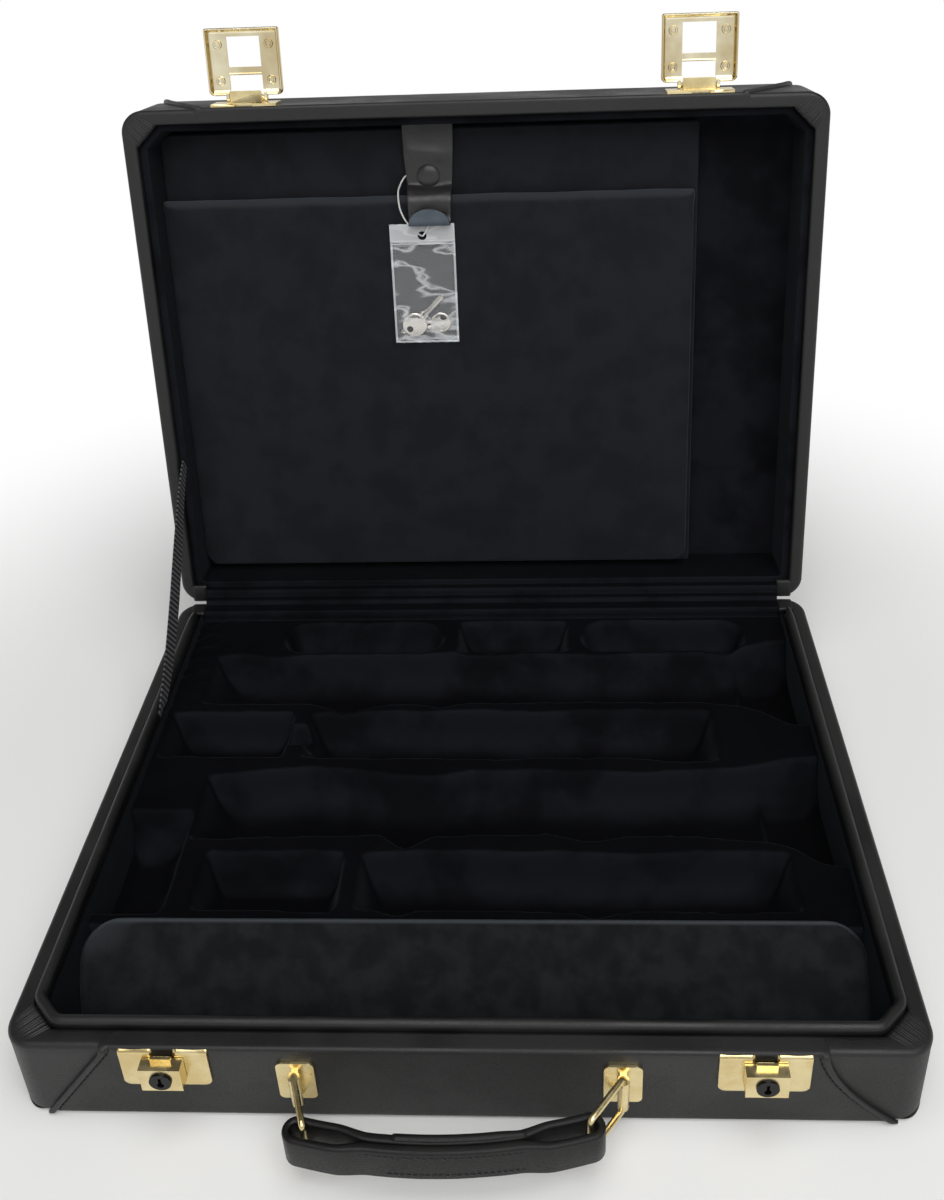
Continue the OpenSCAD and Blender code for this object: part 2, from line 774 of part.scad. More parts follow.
module hasp(x) {
  color(GOLD) lid_at_rest() hasp_frame(x) difference() {
    union() {
      hasp_shape();
      hasp_ears();
      hasp_bosses();
      hasp_hook();
    }
    translate([-hasp_w / 2, 0, 0]) rotate([0, 90, 0]) cylinder(h = hasp_w, r = hasp_pin_r + 0.05);
  }
}

module hasp_pin(x) {
  half = window_w / 2 + 0.4 + hasp_ear_w;
  color(GOLD) lid_at_rest() hasp_frame(x) translate([-half, 0, 0]) rotate([0, 90, 0])
    cylinder(h = 2 * half, r = hasp_pin_r);
}

module hasp_plate(x) {
  half = lock_w / 2 - 0.8;
  surface = -hasp_axis_out;
  color(GOLD) lid_at_rest() hasp_frame(x) difference() {
    union() {
      box_between([-half, 0.8 - hasp_axis_d, surface], [half, 2, surface + plate_t + 0.3]);
      translate([-tab_w / 2, 0, 0]) rotate([0, 90, 0]) cylinder(h = tab_w, r = hasp_knuckle_r);
      box_between([-tab_w / 2, -1.4, surface + 0.5], [tab_w / 2, 1.4, 0]);
      box_between([-tab_w / 2, -hasp_back - 1.3, surface + 0.5], [tab_w / 2, -hasp_back - 0.3, 4.2]);
    }
    translate([-hasp_w / 2, 0, 0]) rotate([0, 90, 0]) cylinder(h = hasp_w, r = hasp_pin_r + 0.06);
    box_between([-5, -hasp_axis_d - 1, surface - 1], [5, 3.8 - hasp_axis_d, surface + 3]);
  }
}

// Handle

module handle_plate(x) {
  z0 = handle_z + 1.4;
  color(GOLD) difference() {
    union() {
      translate([x, lock_face, z0]) rotate([-90, 0, 0]) linear_extrude(plate_t)
        rounded_rect(handle_plate_w, handle_plate_h, 2.5);
      translate([x, eye_y, handle_z - barrel_h / 2]) cylinder(h = barrel_h, r = barrel_r);
      box_between([x - 1.4, eye_y, handle_z - barrel_h / 2],
                  [x + 1.4, lock_face + 0.5, handle_z + barrel_h / 2]);
    }
    translate([x, eye_y, handle_z - barrel_h]) cylinder(h = 2 * barrel_h, r = ring_pivot_r + 0.08);
  }
}

module handle_ring(x, angle) {
  z0 = handle_z - ring_h / 2;
  color(GOLD) translate([x, eye_y, z0]) rotate([0, 0, angle]) {
    cylinder(h = ring_h, r = ring_pivot_r);
    translate([0, -ring_l, 0]) cylinder(h = ring_h, r = ring_t / 2);
    for (z = [0, ring_h - ring_t]) translate([-ring_t / 2, -ring_l, z]) cube([ring_t, ring_l, ring_t]);
  }
}

module handle_frame() {
  translate([handle_x, handle_y, handle_z - handle_w / 2]) rotate([0, 0, handle_turn]) children();
}

module bow(t0, t1, half) {
  intersection() {
    translate([0, bow_r - bow_drop]) difference() {
      circle(bow_r + t1, $fn = 360);
      circle(bow_r + t0, $fn = 360);
    }
    translate([-half, -bow_drop - 12]) square([2 * half, 40]);
  }
}

module handle_loop_at(side) {
  translate([side * loop_x, loop_y - bow_drop]) rotate([0, 0, side * loop_tilt]) children();
}

module handle_band() {
  color(LEATHER) handle_frame() linear_extrude(handle_w) difference() {
    union() {
      bow(-handle_t / 2, handle_t / 2, loop_x - 2);
      for (side = [-1, 1]) handle_loop_at(side) stadium(loop_half, loop_hole_r + loop_wall);
    }
    for (side = [-1, 1]) handle_loop_at(side) stadium(loop_half, loop_hole_r);
  }
}

module handle_sleeve() {
  color(LEATHER) handle_frame() translate([0, 0, 0.4]) linear_extrude(handle_w - 0.8)
    bow(-handle_t / 2 - sleeve_t, -handle_t / 2, 26);
}

// Lid

module hinge_seat_lid() {
  box_between([-hinge_half, -cut, -cut], [hinge_half, hinge_drop, lid_clear_foot]);
}

module lid_opening(d0, d1) {
  slab(d0, d1) cornered_rect(lid_open_x, lid_open_foot, lid_open_head, 2, bead_cut);
}

module lid_carcass() {
  color(WOOD) lid_at_rest() difference() {
    lid_block(leather_t, edge_r - leather_t);
    lid_opening(-cut, lid_floor);
    hinge_seat_lid();
  }
}

module lid_leather() {
  color(LEATHER) lid_at_rest() difference() {
    lid_block(0, edge_r);
    lid_block(leather_t, edge_r - leather_t);
    lid_opening(-cut, lid_floor - leather_t);
    hinge_seat_lid();
  }
}

module lid_front_panel() {
  color(LEATHER) lid_at_rest() translate([0, rim_gap, case_d]) linear_extrude(panel_t)
    translate([0, lid_h]) mirror([0, 1]) front_panel_shape(lid_h);
}

module lid_clear_shape() {
  cornered_rect(lid_clear_x, lid_clear_foot, lid_clear_head, 1, cut_in(bead_cut, frame_w));
}

module lid_frame() {
  color(VELVET) lid_at_rest() slab(frame_face, lid_floor) difference() {
    cornered_rect(lid_open_x, lid_open_foot, lid_open_head, 2, bead_cut);
    lid_clear_shape();
  }
}

module lid_lining() {
  color(VELVET) lid_at_rest() slab(lid_floor - velvet_t, lid_floor) lid_clear_shape();
}

module pocket_back_board() {
  board_gap = 0.5;
  color(VELVET) lid_at_rest() slab(pocket_back, lid_floor - velvet_t) intersection() {
    lid_clear_shape();
    translate([pocket_left, lid_clear_foot + board_gap])
      square([pocket_back_w, lid_clear_head - lid_clear_foot - board_gap - board_drop]);
  }
}

module pocket_shape() {
  translate([pocket_left + pocket_w / 2, pocket_foot + pocket_h / 2])
    rounded_rect(pocket_w, pocket_h, pocket_r);
}

module pocket_panel() {
  color(VELVET) lid_at_rest() slab(pocket_face, pocket_face + pocket_t) pocket_shape();
}

module pocket_gusset() {
  g = gusset_w;
  color(VELVET) lid_at_rest() slab(pocket_face + pocket_t, pocket_back) difference() {
    pocket_shape();
    translate([pocket_left + g, pocket_foot + g]) square([pocket_w - 2 * g, pocket_h]);
  }
}

// Strap with its press stud, and the keys in their bag

module strap_bar(p) {
  drop = (strap_top_s - p[1]) / (strap_top_s - strap_path[len(strap_path) - 1][1]);
  translate([strap_x, p[0], p[1]]) rotate([0, 90, 0])
    cylinder(h = strap_w - (strap_w - strap_tip_w) * drop, r = strap_t / 2, center = true, $fn = 16);
}

module strap() {
  color(LEATHER) lid_at_rest() for (i = [0:len(strap_path) - 2]) hull() {
    strap_bar(strap_path[i]);
    strap_bar(strap_path[i + 1]);
  }
}

module stud_cap() {
  color(PLASTIC) lid_at_rest() translate([strap_x, stud_d - strap_t / 2, stud_s]) rotate([90, 0, 0]) {
    cylinder(h = stud_cap_h * 0.5, r = stud_dia / 2);
    cylinder(h = stud_cap_h, r = stud_dia / 2 - 1);
  }
}

module stud_socket() {
  color(NICKEL) lid_at_rest() translate([strap_x, pocket_back, stud_s]) rotate([90, 0, 0])
    cylinder(h = 1.5, r = socket_dia / 2);
}

module key_loop() {
  n = 8;
  points = len(loop_route);
  function along(i) = loop_route[min(i + 1, points - 1)] - loop_route[max(i - 1, 0)];
  function unit(v) = v / norm(v);
  function ring(i) = let (
    t = unit(along(i)),
    a = unit(cross(t, abs(t[1]) < 0.9 ? [0, 1, 0] : [1, 0, 0])),
    b = cross(t, a)
  ) [for (k = [0:n - 1]) loop_route[i] + loop_dia / 2 * (a * cos(360 * k / n) + b * sin(360 * k / n))];
  verts = [for (i = [0:points - 1]) each ring(i)];
  sides = [for (i = [0:points - 2], k = [0:n - 1])
    each [[i * n + k, i * n + (k + 1) % n, (i + 1) * n + (k + 1) % n],
          [i * n + k, (i + 1) * n + (k + 1) % n, (i + 1) * n + k]]];
  first = [[for (k = [0:n - 1]) n - 1 - k]];
  last = [[for (k = [0:n - 1]) (points - 1) * n + k]];
  color(CORD) lid_at_rest() polyhedron(verts, concat(sides, first, last));
}

module key_bag() {
  wall = 0.4;
  foot = bag_top_s - bag_h;
  pouch_h = bag_h - bag_header;
  color(CLEAR) lid_at_rest() difference() {
    union() {
      slab(bag_d, bag_d + bag_t) translate([bag_x - bag_w / 2, foot]) square([bag_w, pouch_h]);
      slab(bag_d, bag_d + 2 * wall) translate([bag_x - bag_w / 2, foot]) square([bag_w, bag_h]);
    }
    slab(bag_d + wall, bag_d + bag_t - wall) translate([bag_x - bag_w / 2 + wall, foot + wall])
      square([bag_w - 2 * wall, pouch_h - 2 * wall]);
    slab(bag_d - 1, bag_d + bag_t + 1) translate([bag_x, bag_top_s - bag_header * 0.55]) circle(2.6);
  }
}

module key_shape() {
  difference() {
    circle(key_head_dia / 2);
    translate([0, -key_head_dia * 0.28]) circle(2);
  }
  translate([-2.2, key_head_dia / 2 - 1]) square([4.4, 18]);
}

module keys() {
  t = 1;
  foot = bag_top_s - bag_h + key_head_dia / 2 + 3;
  color(NICKEL) lid_at_rest() {
    slab(bag_d + 0.6, bag_d + 0.6 + t) translate([bag_x - 7, foot]) rotate(-32) key_shape();
    slab(bag_d + 0.9 + t, bag_d + 0.9 + 2 * t) translate([bag_x + 7.5, foot]) rotate(12) key_shape();
  }
}

base_carcass();
base_leather();
base_bottom_leather();
base_front_panel();
base_bead();
base_lining();
insert_pad();
insert_back_strip();
insert_rib_1();
insert_rib_2();
insert_rib_3();
insert_ledge();
insert_blocks();
front_board();
hinge_leaf_base();
hinge_pin();
hinge_cover_base();
stay_ribbon();
lock_plate(-lock_x);  // lock_plate_left
lock_plate(lock_x);  // lock_plate_right
lock_box(-lock_x);  // lock_box_left
lock_box(lock_x);  // lock_box_right
lock_cylinder(-lock_x);  // lock_cylinder_left
lock_cylinder(lock_x);  // lock_cylinder_right
handle_plate(eye_left);  // handle_plate_left
handle_plate(eye_right);  // handle_plate_right
handle_ring(eye_left, ring_angle_left);  // handle_ring_left
handle_ring(eye_right, -ring_angle_right);  // handle_ring_right
handle_band();
handle_sleeve();
lid_carcass();
lid_leather();
lid_front_panel();
lid_frame();
lid_lining();
pocket_back_board();
pocket_panel();
pocket_gusset();
stud_socket();
hinge_leaf_lid();
hinge_cover_lid();
hasp_plate(-lock_x);  // hasp_plate_left
hasp_plate(lock_x);  // hasp_plate_right
hasp(-lock_x);  // hasp_left
hasp(lock_x);  // hasp_right
hasp_pin(-lock_x);  // hasp_pin_left
hasp_pin(lock_x);  // hasp_pin_right
strap();
stud_cap();
key_loop();
key_bag();
keys();
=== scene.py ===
import json
import math

import bmesh
import bpy
import numpy as np
from mathutils import Matrix, Vector, noise


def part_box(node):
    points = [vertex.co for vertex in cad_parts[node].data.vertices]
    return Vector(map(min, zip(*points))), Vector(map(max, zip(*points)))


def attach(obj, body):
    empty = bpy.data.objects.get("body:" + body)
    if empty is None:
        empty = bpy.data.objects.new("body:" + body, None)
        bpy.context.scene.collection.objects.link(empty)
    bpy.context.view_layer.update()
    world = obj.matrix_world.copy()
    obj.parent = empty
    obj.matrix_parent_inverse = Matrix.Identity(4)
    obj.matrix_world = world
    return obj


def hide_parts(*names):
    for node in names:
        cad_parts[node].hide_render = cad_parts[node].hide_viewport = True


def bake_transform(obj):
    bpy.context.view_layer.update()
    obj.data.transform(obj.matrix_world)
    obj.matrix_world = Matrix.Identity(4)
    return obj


# Double clarinet case, shown open. Lengths are in millimetres and turned into metres when a piece is made.
# A lid point is written as (x, d, s): across, into the lid from its rim, and up from the hinge.

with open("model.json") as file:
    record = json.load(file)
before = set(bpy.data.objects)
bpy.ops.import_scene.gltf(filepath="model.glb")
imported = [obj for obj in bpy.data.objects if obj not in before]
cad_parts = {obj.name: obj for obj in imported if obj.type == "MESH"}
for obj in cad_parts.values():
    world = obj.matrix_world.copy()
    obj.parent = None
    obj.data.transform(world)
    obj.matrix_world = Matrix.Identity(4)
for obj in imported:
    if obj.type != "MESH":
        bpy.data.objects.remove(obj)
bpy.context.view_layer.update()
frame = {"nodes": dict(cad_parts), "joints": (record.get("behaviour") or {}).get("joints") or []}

MM = 0.001
hinge = next(joint for joint in frame["joints"] if joint["name"] == "lid_hinge")
leather_low, leather_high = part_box("base_leather")

CASE_W = (leather_high.x - leather_low.x) / MM
CASE_D = (leather_high.y - leather_low.y) / MM
BASE_H = leather_high.z / MM
HINGE_Y, HINGE_Z = hinge["pos_m"][1] / MM, hinge["pos_m"][2] / MM
LID_LEAN = math.radians(8)
LID_H = 44.0
RIM_GAP = 0.3
CORNER_R = 13.0
RIM_W = 8.3
LID_RIM_W = RIM_W - 0.4
PANEL_T = 0.8
BEAD_W = 5.0
BEAD_RISE = 4.5
BEAD_CUT = 12.5
HINGE_HALF = CASE_W / 2 - 15.5
HINGE_DROP = 2.3
IN_X = CASE_W / 2 - RIM_W
IN_Y = CASE_D / 2 - RIM_W
CLEAR_X = IN_X - BEAD_W - 1
FRONT_Y = -CASE_D / 2 - PANEL_T


def lid_point(x, d, s):
    """A point of the lid, in the object's frame at rest."""
    sin, cos = math.sin(LID_LEAN), math.cos(LID_LEAN)
    return (x, HINGE_Y + s * sin + d * cos, HINGE_Z + s * cos - d * sin)


def add_object(name, data):
    thing = bpy.data.objects.new(name, data)
    bpy.context.scene.collection.objects.link(thing)
    return thing


# Camera at the photograph's place. The photograph is PHOTO_W by PHOTO_H pixels.
PHOTO_W, PHOTO_H = 944, 1200
FOCAL_PX = 1228.31
CENTRE_PX = (490.46, 420.17)
CAMERA_MM = Vector((42.67, -479.09, 519.99))
CAMERA_YAW, CAMERA_DOWN, CAMERA_ROLL = (math.radians(a) for a in (-3.2931, 28.429, -2.4882))


def make_camera():
    data = bpy.data.cameras.new("camera")
    camera = add_object("camera", data)
    bpy.context.scene.camera = camera
    forward = Vector((math.sin(CAMERA_YAW) * math.cos(CAMERA_DOWN),
                      math.cos(CAMERA_YAW) * math.cos(CAMERA_DOWN), -math.sin(CAMERA_DOWN)))
    flat = Vector((math.cos(CAMERA_YAW), -math.sin(CAMERA_YAW), 0))
    upright = flat.cross(forward)
    right = flat * math.cos(CAMERA_ROLL) + upright * math.sin(CAMERA_ROLL)
    up = upright * math.cos(CAMERA_ROLL) - flat * math.sin(CAMERA_ROLL)
    turn = Matrix((right, up, -forward)).transposed().to_4x4()
    camera.matrix_world = Matrix.Translation(CAMERA_MM * MM) @ turn
    data.sensor_width = 36
    data.lens = FOCAL_PX / PHOTO_H * data.sensor_width
    data.shift_x = (PHOTO_W / 2 - CENTRE_PX[0]) / PHOTO_H
    data.shift_y = (CENTRE_PX[1] - PHOTO_H / 2) / PHOTO_H
    data.clip_start, data.clip_end = 0.01, 50


make_camera()


# Materials

def feed(tree, node, inputs):
    """Sets a node's inputs to values, or links them to other sockets. A colour gets its alpha."""
    for label, value in inputs.items():
        socket = node.inputs[label]
        if isinstance(value, bpy.types.NodeSocket):
            tree.links.new(value, socket)
        else:
            socket.default_value = (*value, 1) if socket.type == "RGBA" else value


def add_node(tree, kind, inputs, **settings):
    node = tree.nodes.new("ShaderNode" + kind)
    for name, setting in settings.items():
        setattr(node, name, setting)
    feed(tree, node, inputs)
    return node


def coordinate(tree, kind="Object"):
    return tree.nodes.new("ShaderNodeTexCoord").outputs[kind]


def axes_of(tree, vector):
    return add_node(tree, "SeparateXYZ", {"Vector": vector}).outputs


def math_node(tree, operation, *values):
    return add_node(tree, "Math", dict(enumerate(values)), operation=operation).outputs[0]


def plus(tree, first, second):
    return math_node(tree, "ADD", first, second)


def times(tree, first, second):
    return math_node(tree, "MULTIPLY", first, second)


def noise_node(tree, vector, scale, detail=2.0, rough=0.5):
    inputs = {"Vector": vector, "Scale": scale, "Detail": detail, "Roughness": rough}
    return add_node(tree, "TexNoise", inputs).outputs["Fac"]


def range_node(tree, value, low, high, to_low=0.0, to_high=1.0, kind="SMOOTHSTEP"):
    inputs = {"Value": value, "From Min": low, "From Max": high, "To Min": to_low, "To Max": to_high}
    return add_node(tree, "MapRange", inputs, interpolation_type=kind).outputs["Result"]


def mix_colour(tree, mask, first, second):
    inputs = {"Factor": mask, "A": first, "B": second}
    return add_node(tree, "Mix", inputs, data_type="RGBA").outputs["Result"]


def bump_node(tree, height, distance, strength=1.0):
    inputs = {"Strength": strength, "Distance": distance * MM, "Height": height}
    return add_node(tree, "Bump", inputs).outputs["Normal"]


def new_group(name, setting, outputs):
    """A node group of plain numbers: the group, its one setting, its output node and its coordinates."""
    group = bpy.data.node_groups.new(name, "ShaderNodeTree")
    group.interface.new_socket(setting, in_out="INPUT", socket_type="NodeSocketFloat")
    for label in outputs:
        group.interface.new_socket(label, in_out="OUTPUT", socket_type="NodeSocketFloat")
    given = group.nodes.new("NodeGroupInput").outputs[setting]
    return group, given, group.nodes.new("NodeGroupOutput"), coordinate(group)


def patches_group():
    """Soft uneven patches, for leather's handling marks and metal's film."""
    group, size, out, place = new_group("patches", "Size", ["Mask"])
    feed(group, out, {"Mask": range_node(group, noise_node(group, place, size, 3.0, 0.55), 0.35, 0.65)})
    return group


def grain_group():
    """Fine leather grain: small flat cells with creases between them."""
    group, cells, out, place = new_group("leather_grain", "Cells", ["Height", "Crease"])
    edges = add_node(group, "TexVoronoi", {"Vector": place, "Scale": cells}, feature="DISTANCE_TO_EDGE")
    flat = range_node(group, edges.outputs["Distance"], 0.0, 0.22)
    height = plus(group, times(group, flat, 0.7), times(group, noise_node(group, place, 2600.0), 0.5))
    feed(group, out, {"Height": height, "Crease": math_node(group, "SUBTRACT", 1.0, flat)})
    return group


def pile_group():
    """Velvet pile: short fuzz over broad strokes that lie different ways, and a painted sheen that lightens
    the faces turned towards the front.
    """
    group, stroke, out, place = new_group("velvet_pile", "Stroke", ["Height", "Lie_and_sheen", "Upward"])
    fuzz = noise_node(group, place, 3200.0, 3.0, 0.7)
    broad = noise_node(group, place, stroke, 4.0, 0.6)
    facing = axes_of(group, coordinate(group, "Normal"))
    # Painted sheen: faces that turn towards the front are painted lighter, where they would catch the front
    # light.
    front_face_sheen = range_node(group, times(group, facing["Y"], -1.0), 0.3, 0.95)
    stroked = range_node(group, broad, 0.36, 0.64, 0.4)
    lie_and_sheen = plus(group, times(group, front_face_sheen, stroked), times(group, stroked, 0.16))
    height = plus(group, fuzz, times(group, broad, 2.0))
    feed(group, out, {"Height": height, "Lie_and_sheen": lie_and_sheen, "Upward": facing["Z"]})
    return group


PATCHES, GRAIN, PILE = patches_group(), grain_group(), pile_group()


def add_group(tree, group, setting):
    node = tree.nodes.new("ShaderNodeGroup")
    node.node_tree = group
    node.inputs[0].default_value = setting
    return node.outputs


def new_material(name, inputs):
    material = bpy.data.materials.new(name)
    material.use_nodes = True
    tree = material.node_tree
    shader = tree.nodes["Principled BSDF"]
    feed(tree, shader, inputs)
    return material, tree, shader


def leather_material(name, dark, light, rough, cells=900.0, gloss=0.5):
    material, tree, shader = new_material(name, {"Specular IOR Level": gloss})
    mask = add_group(tree, PATCHES, 18.0)["Mask"]
    grain = add_group(tree, GRAIN, cells)
    handled = range_node(tree, mask, 0.0, 1.0, *rough)
    feed(tree, shader, {"Base Color": mix_colour(tree, mask, dark, light),
                        "Roughness": plus(tree, handled, times(tree, grain["Crease"], 0.12)),
                        "Normal": bump_node(tree, grain["Height"], 0.07, 0.6)})
    return material


def velvet_material(name, dark, light, stroke, sheen, gloss=0.15, top_light=None, top_light_from=0.0):
    """Velvet. A third colour, if given, is painted light on its upturned faces, from a normal that points up
    by the given amount.
    """
    material, tree, shader = new_material(name, {
        "Sheen Weight": sheen, "Sheen Roughness": 0.38, "Sheen Tint": (0.55, 0.62, 0.72), "Roughness": 0.85,
        "Specular IOR Level": gloss})
    pile = add_group(tree, PILE, stroke)
    # Base colour from the pile's strokes, with the painted front sheen.
    colour = mix_colour(tree, pile["Lie_and_sheen"], dark, light)
    if top_light:
        # Painted light: faces that point upwards are painted lighter.
        painted_top_light = range_node(tree, pile["Upward"], top_light_from, 1.0, kind="LINEAR")
        colour = mix_colour(tree, painted_top_light, colour, top_light)
    feed(tree, shader, {"Base Color": colour, "Normal": bump_node(tree, pile["Height"], 0.25, 0.7)})
    return material


def metal_material(name, first, second, rough, painted_reflection=None, film_size=60.0):
    """A third colour, if given, is a painted reflection of the dark case, on faces that look sideways."""
    material, tree, shader = new_material(name, {"Metallic": 1.0})
    film = add_group(tree, PATCHES, film_size)["Mask"]
    colour = mix_colour(tree, film, first, second)
    if painted_reflection:
        sideways = math_node(tree, "ABSOLUTE", axes_of(tree, coordinate(tree, "Normal"))["X"])
        # Painted reflection: faces that look sideways take the darker colour.
        colour = mix_colour(tree, range_node(tree, sideways, 0.2, 0.8), colour, painted_reflection)
    uneven_face = noise_node(tree, coordinate(tree), 240.0, 3.0)
    feed(tree, shader, {"Base Color": colour, "Roughness": range_node(tree, film, 0.0, 1.0, *rough),
                        "Normal": bump_node(tree, uneven_face, 0.05, 0.35)})
    return material


def cloth_material(name, dark, light, pitch):
    """Twill: slanting ribs across a woven tape."""
    inputs = {"Roughness": 0.8, "Sheen Weight": 0.05, "Specular IOR Level": 0.2}
    material, tree, shader = new_material(name, inputs)
    slant = add_node(tree, "VectorMath", {0: coordinate(tree), 1: (0.1, 0.9, 0.42)},
                     operation="DOT_PRODUCT")
    wave = math_node(tree, "SINE", times(tree, slant.outputs["Value"], math.tau / (pitch * MM)))
    rib = range_node(tree, wave, -0.7, 0.5)
    feed(tree, shader, {"Base Color": mix_colour(tree, rib, dark, light),
                        "Normal": bump_node(tree, rib, 0.2, 0.8)})
    return material


def gloss_material(name, colour, rough, gloss=0.5):
    material, tree, shader = new_material(name, {"Base Color": colour, "Specular IOR Level": gloss})
    film = add_group(tree, PATCHES, 120.0)["Mask"]
    feed(tree, shader, {"Roughness": range_node(tree, film, 0.0, 1.0, rough, rough + 0.12)})
    return material


def film_material(name, clear, crease_alpha):
    """Clear film, with an alpha that changes from clear to milky where it is creased: partly the film's own
    whitening, partly a painted highlight along each crease.
    """
    inputs = {"Base Color": (0.82, 0.84, 0.86), "Specular IOR Level": 0.8}
    material, tree, shader = new_material(name, inputs)
    slant, scale = (0.0, math.radians(32), 0.0), (0.35, 1.0, 1.0)
    stretch = add_node(tree, "Mapping", {"Vector": coordinate(tree), "Rotation": slant, "Scale": scale})
    crease = noise_node(tree, stretch.outputs["Vector"], 75.0, 2.5)
    ridge = math_node(tree, "ABSOLUTE", math_node(tree, "SUBTRACT", crease, 0.5))
    # Painted highlight: the pale film colour shows along the creases.
    feed(tree, shader, {"Alpha": range_node(tree, ridge, 0.0, 0.05, crease_alpha, clear),
                        "Roughness": range_node(tree, crease, 0.3, 0.7, 0.08, 0.2),
                        "Normal": bump_node(tree, crease, 1.2)})
    return material


LEATHER = leather_material("leather", (0.004, 0.004, 0.004), (0.008, 0.008, 0.0076), (0.38, 0.52))
HANDLE_LEATHER = leather_material("handle_leather", (0.004, 0.004, 0.004), (0.008, 0.008, 0.0076),
                                  (0.34, 0.46), 700.0, 0.3)
STRAP_LEATHER = leather_material("strap_leather", (0.010, 0.0092, 0.0092), (0.018, 0.0165, 0.0165),
                                 (0.2, 0.3), 1100.0)
WOOD = leather_material("wood", (0.42, 0.30, 0.18), (0.55, 0.42, 0.27), (0.6, 0.75), 300.0)
VELVET = velvet_material("velvet", (0.0007, 0.0008, 0.0011), (0.0092, 0.0098, 0.0125), 24.0, 0.05, 0.05)
# The pocket's and the board's last colours are painted light on their upturned edges.
POCKET_VELVET = velvet_material("pocket_velvet", (0.0056, 0.0060, 0.0076), (0.0118, 0.0125, 0.0158),
                                42.0, 0.2, 0.15, (0.034, 0.038, 0.045), 0.2)
BOARD_VELVET = velvet_material("board_velvet", (0.0028, 0.0034, 0.0040), (0.0150, 0.0168, 0.0188),
                               70.0, 0.12, 0.12, (0.050, 0.056, 0.062), 0.7)
SUEDE = velvet_material("suede", (0.06, 0.075, 0.095), (0.10, 0.12, 0.145), 60.0, 0.3)
BRASS = metal_material("brass", (0.74, 0.585, 0.28), (0.88, 0.75, 0.43), (0.2, 0.32))
# The hasps' third colour is the painted reflection of the case on their sideways faces.
HASP_BRASS = metal_material("hasp_brass", (0.72, 0.60, 0.36), (1.0, 0.93, 0.68), (0.12, 0.22),
                            (0.45, 0.33, 0.12), 34.0)
NICKEL = metal_material("nickel", (0.62, 0.59, 0.54), (0.78, 0.75, 0.70), (0.2, 0.34))
TWILL = cloth_material("twill", (0.0003, 0.0003, 0.0004), (0.075, 0.075, 0.08), 2.8)
THREAD = cloth_material("thread", (0.004, 0.004, 0.004), (0.014, 0.014, 0.014), 0.4)
HANDLE_THREAD = cloth_material("handle_thread", (0.012, 0.011, 0.012), (0.06, 0.057, 0.06), 0.5)
ELASTIC = cloth_material("elastic", (0.55, 0.55, 0.53), (0.85, 0.85, 0.83), 0.5)
BLACK_PLASTIC = gloss_material("black_plastic", (0.004, 0.004, 0.004), 0.1, 0.22)
STUD_BLACK = gloss_material("stud_black", (0.018, 0.018, 0.018), 0.36)
CLEAR = film_material("clear_plastic", 0.05, 0.34)
CLEAR_HEAD = film_material("clear_plastic_head", 0.38, 0.5)
CLEAR_WELD = film_material("clear_plastic_weld", 0.35, 0.6)


# Numbers and meshes

def steps(low, high, count):
    """Even places from low to high."""
    return [low + (high - low) * i / count for i in range(count + 1)]


def angles(start, end, count):
    """Even angles between two that are given in degrees."""
    return [math.radians(a) for a in steps(start, end, count)]


def oval(wide, high, count):
    return [(wide * math.cos(a), high * math.sin(a)) for a in angles(0, 360, count)[:-1]]


def arc(centre, radius, start, end, count):
    """Points on an arc, angles in degrees."""
    x, y = centre
    return [(x + radius * math.cos(a), y + radius * math.sin(a)) for a in angles(start, end, count)]


def ease(low, high, value):
    t = min(max((value - low) / (high - low), 0.0), 1.0)
    return t * t * (3 - 2 * t)


def bell(value, middle, width):
    """A smooth bump of height 1 round the middle."""
    return math.exp(-((value - middle) / width) ** 2)


def round_edge(distance, radius):
    """How far a rounded edge has risen, from 0 at the edge to 1 at the radius."""
    return math.sqrt(max(1 - (1 - min(distance / radius, 1.0)) ** 2, 0.0))


def corner_cut(distance, radius):
    """How far a rounded corner cuts in, by the distance to its edge."""
    return radius * (1 - round_edge(distance, radius))


def wander(x, y, z, size):
    """Smooth unevenness from -1 to 1, the same in each run."""
    return noise.noise(Vector((x / size, y / size, z / size)))


def make_piece(name, parts, material, body, replaces=(), place=None, smooth=True):
    """One object from (points, faces) parts. place turns each point into the object's frame."""
    points, faces = [], []
    for part_points, part_faces in parts:
        start = len(points)
        points += [place(*p) if place else p for p in part_points]
        faces += [tuple(start + i for i in face) for face in part_faces]
    mesh = bpy.data.meshes.new(name)
    mesh.from_pydata([(x * MM, y * MM, z * MM) for x, y, z in points], [], faces)
    work = bmesh.new()
    work.from_mesh(mesh)
    bmesh.ops.remove_doubles(work, verts=work.verts, dist=1e-6)
    bmesh.ops.recalc_face_normals(work, faces=work.faces)
    work.to_mesh(mesh)
    work.free()
    piece = add_object(name, mesh)
    if smooth:
        mesh.shade_smooth()
    mesh.materials.append(material)
    if body:
        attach(piece, body)
    if replaces:
        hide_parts(*replaces)
    return piece


def loft(rings, ring_closed=True, path_closed=False):
    """Faces between rings of as many points each, with flat ends where the path is open."""
    count = len(rings[0])
    points = [p for ring in rings for p in ring]
    faces = []
    for i in range(len(rings) if path_closed else len(rings) - 1):
        nxt = (i + 1) % len(rings)
        for k in range(count if ring_closed else count - 1):
            k2 = (k + 1) % count
            faces.append((i * count + k, i * count + k2, nxt * count + k2, nxt * count + k))
    if not path_closed:
        faces.append(tuple(range(count)))
        faces.append(tuple((len(rings) - 1) * count + k for k in range(count)))
    return points, faces


def grid_border(rows, columns):
    """The border places of a grid, once round."""
    return ([(0, k) for k in range(columns)] + [(i, columns - 1) for i in range(1, rows)]
            + [(rows - 1, k) for k in range(columns - 2, -1, -1)] + [(i, 0) for i in range(rows - 2, 0, -1)])


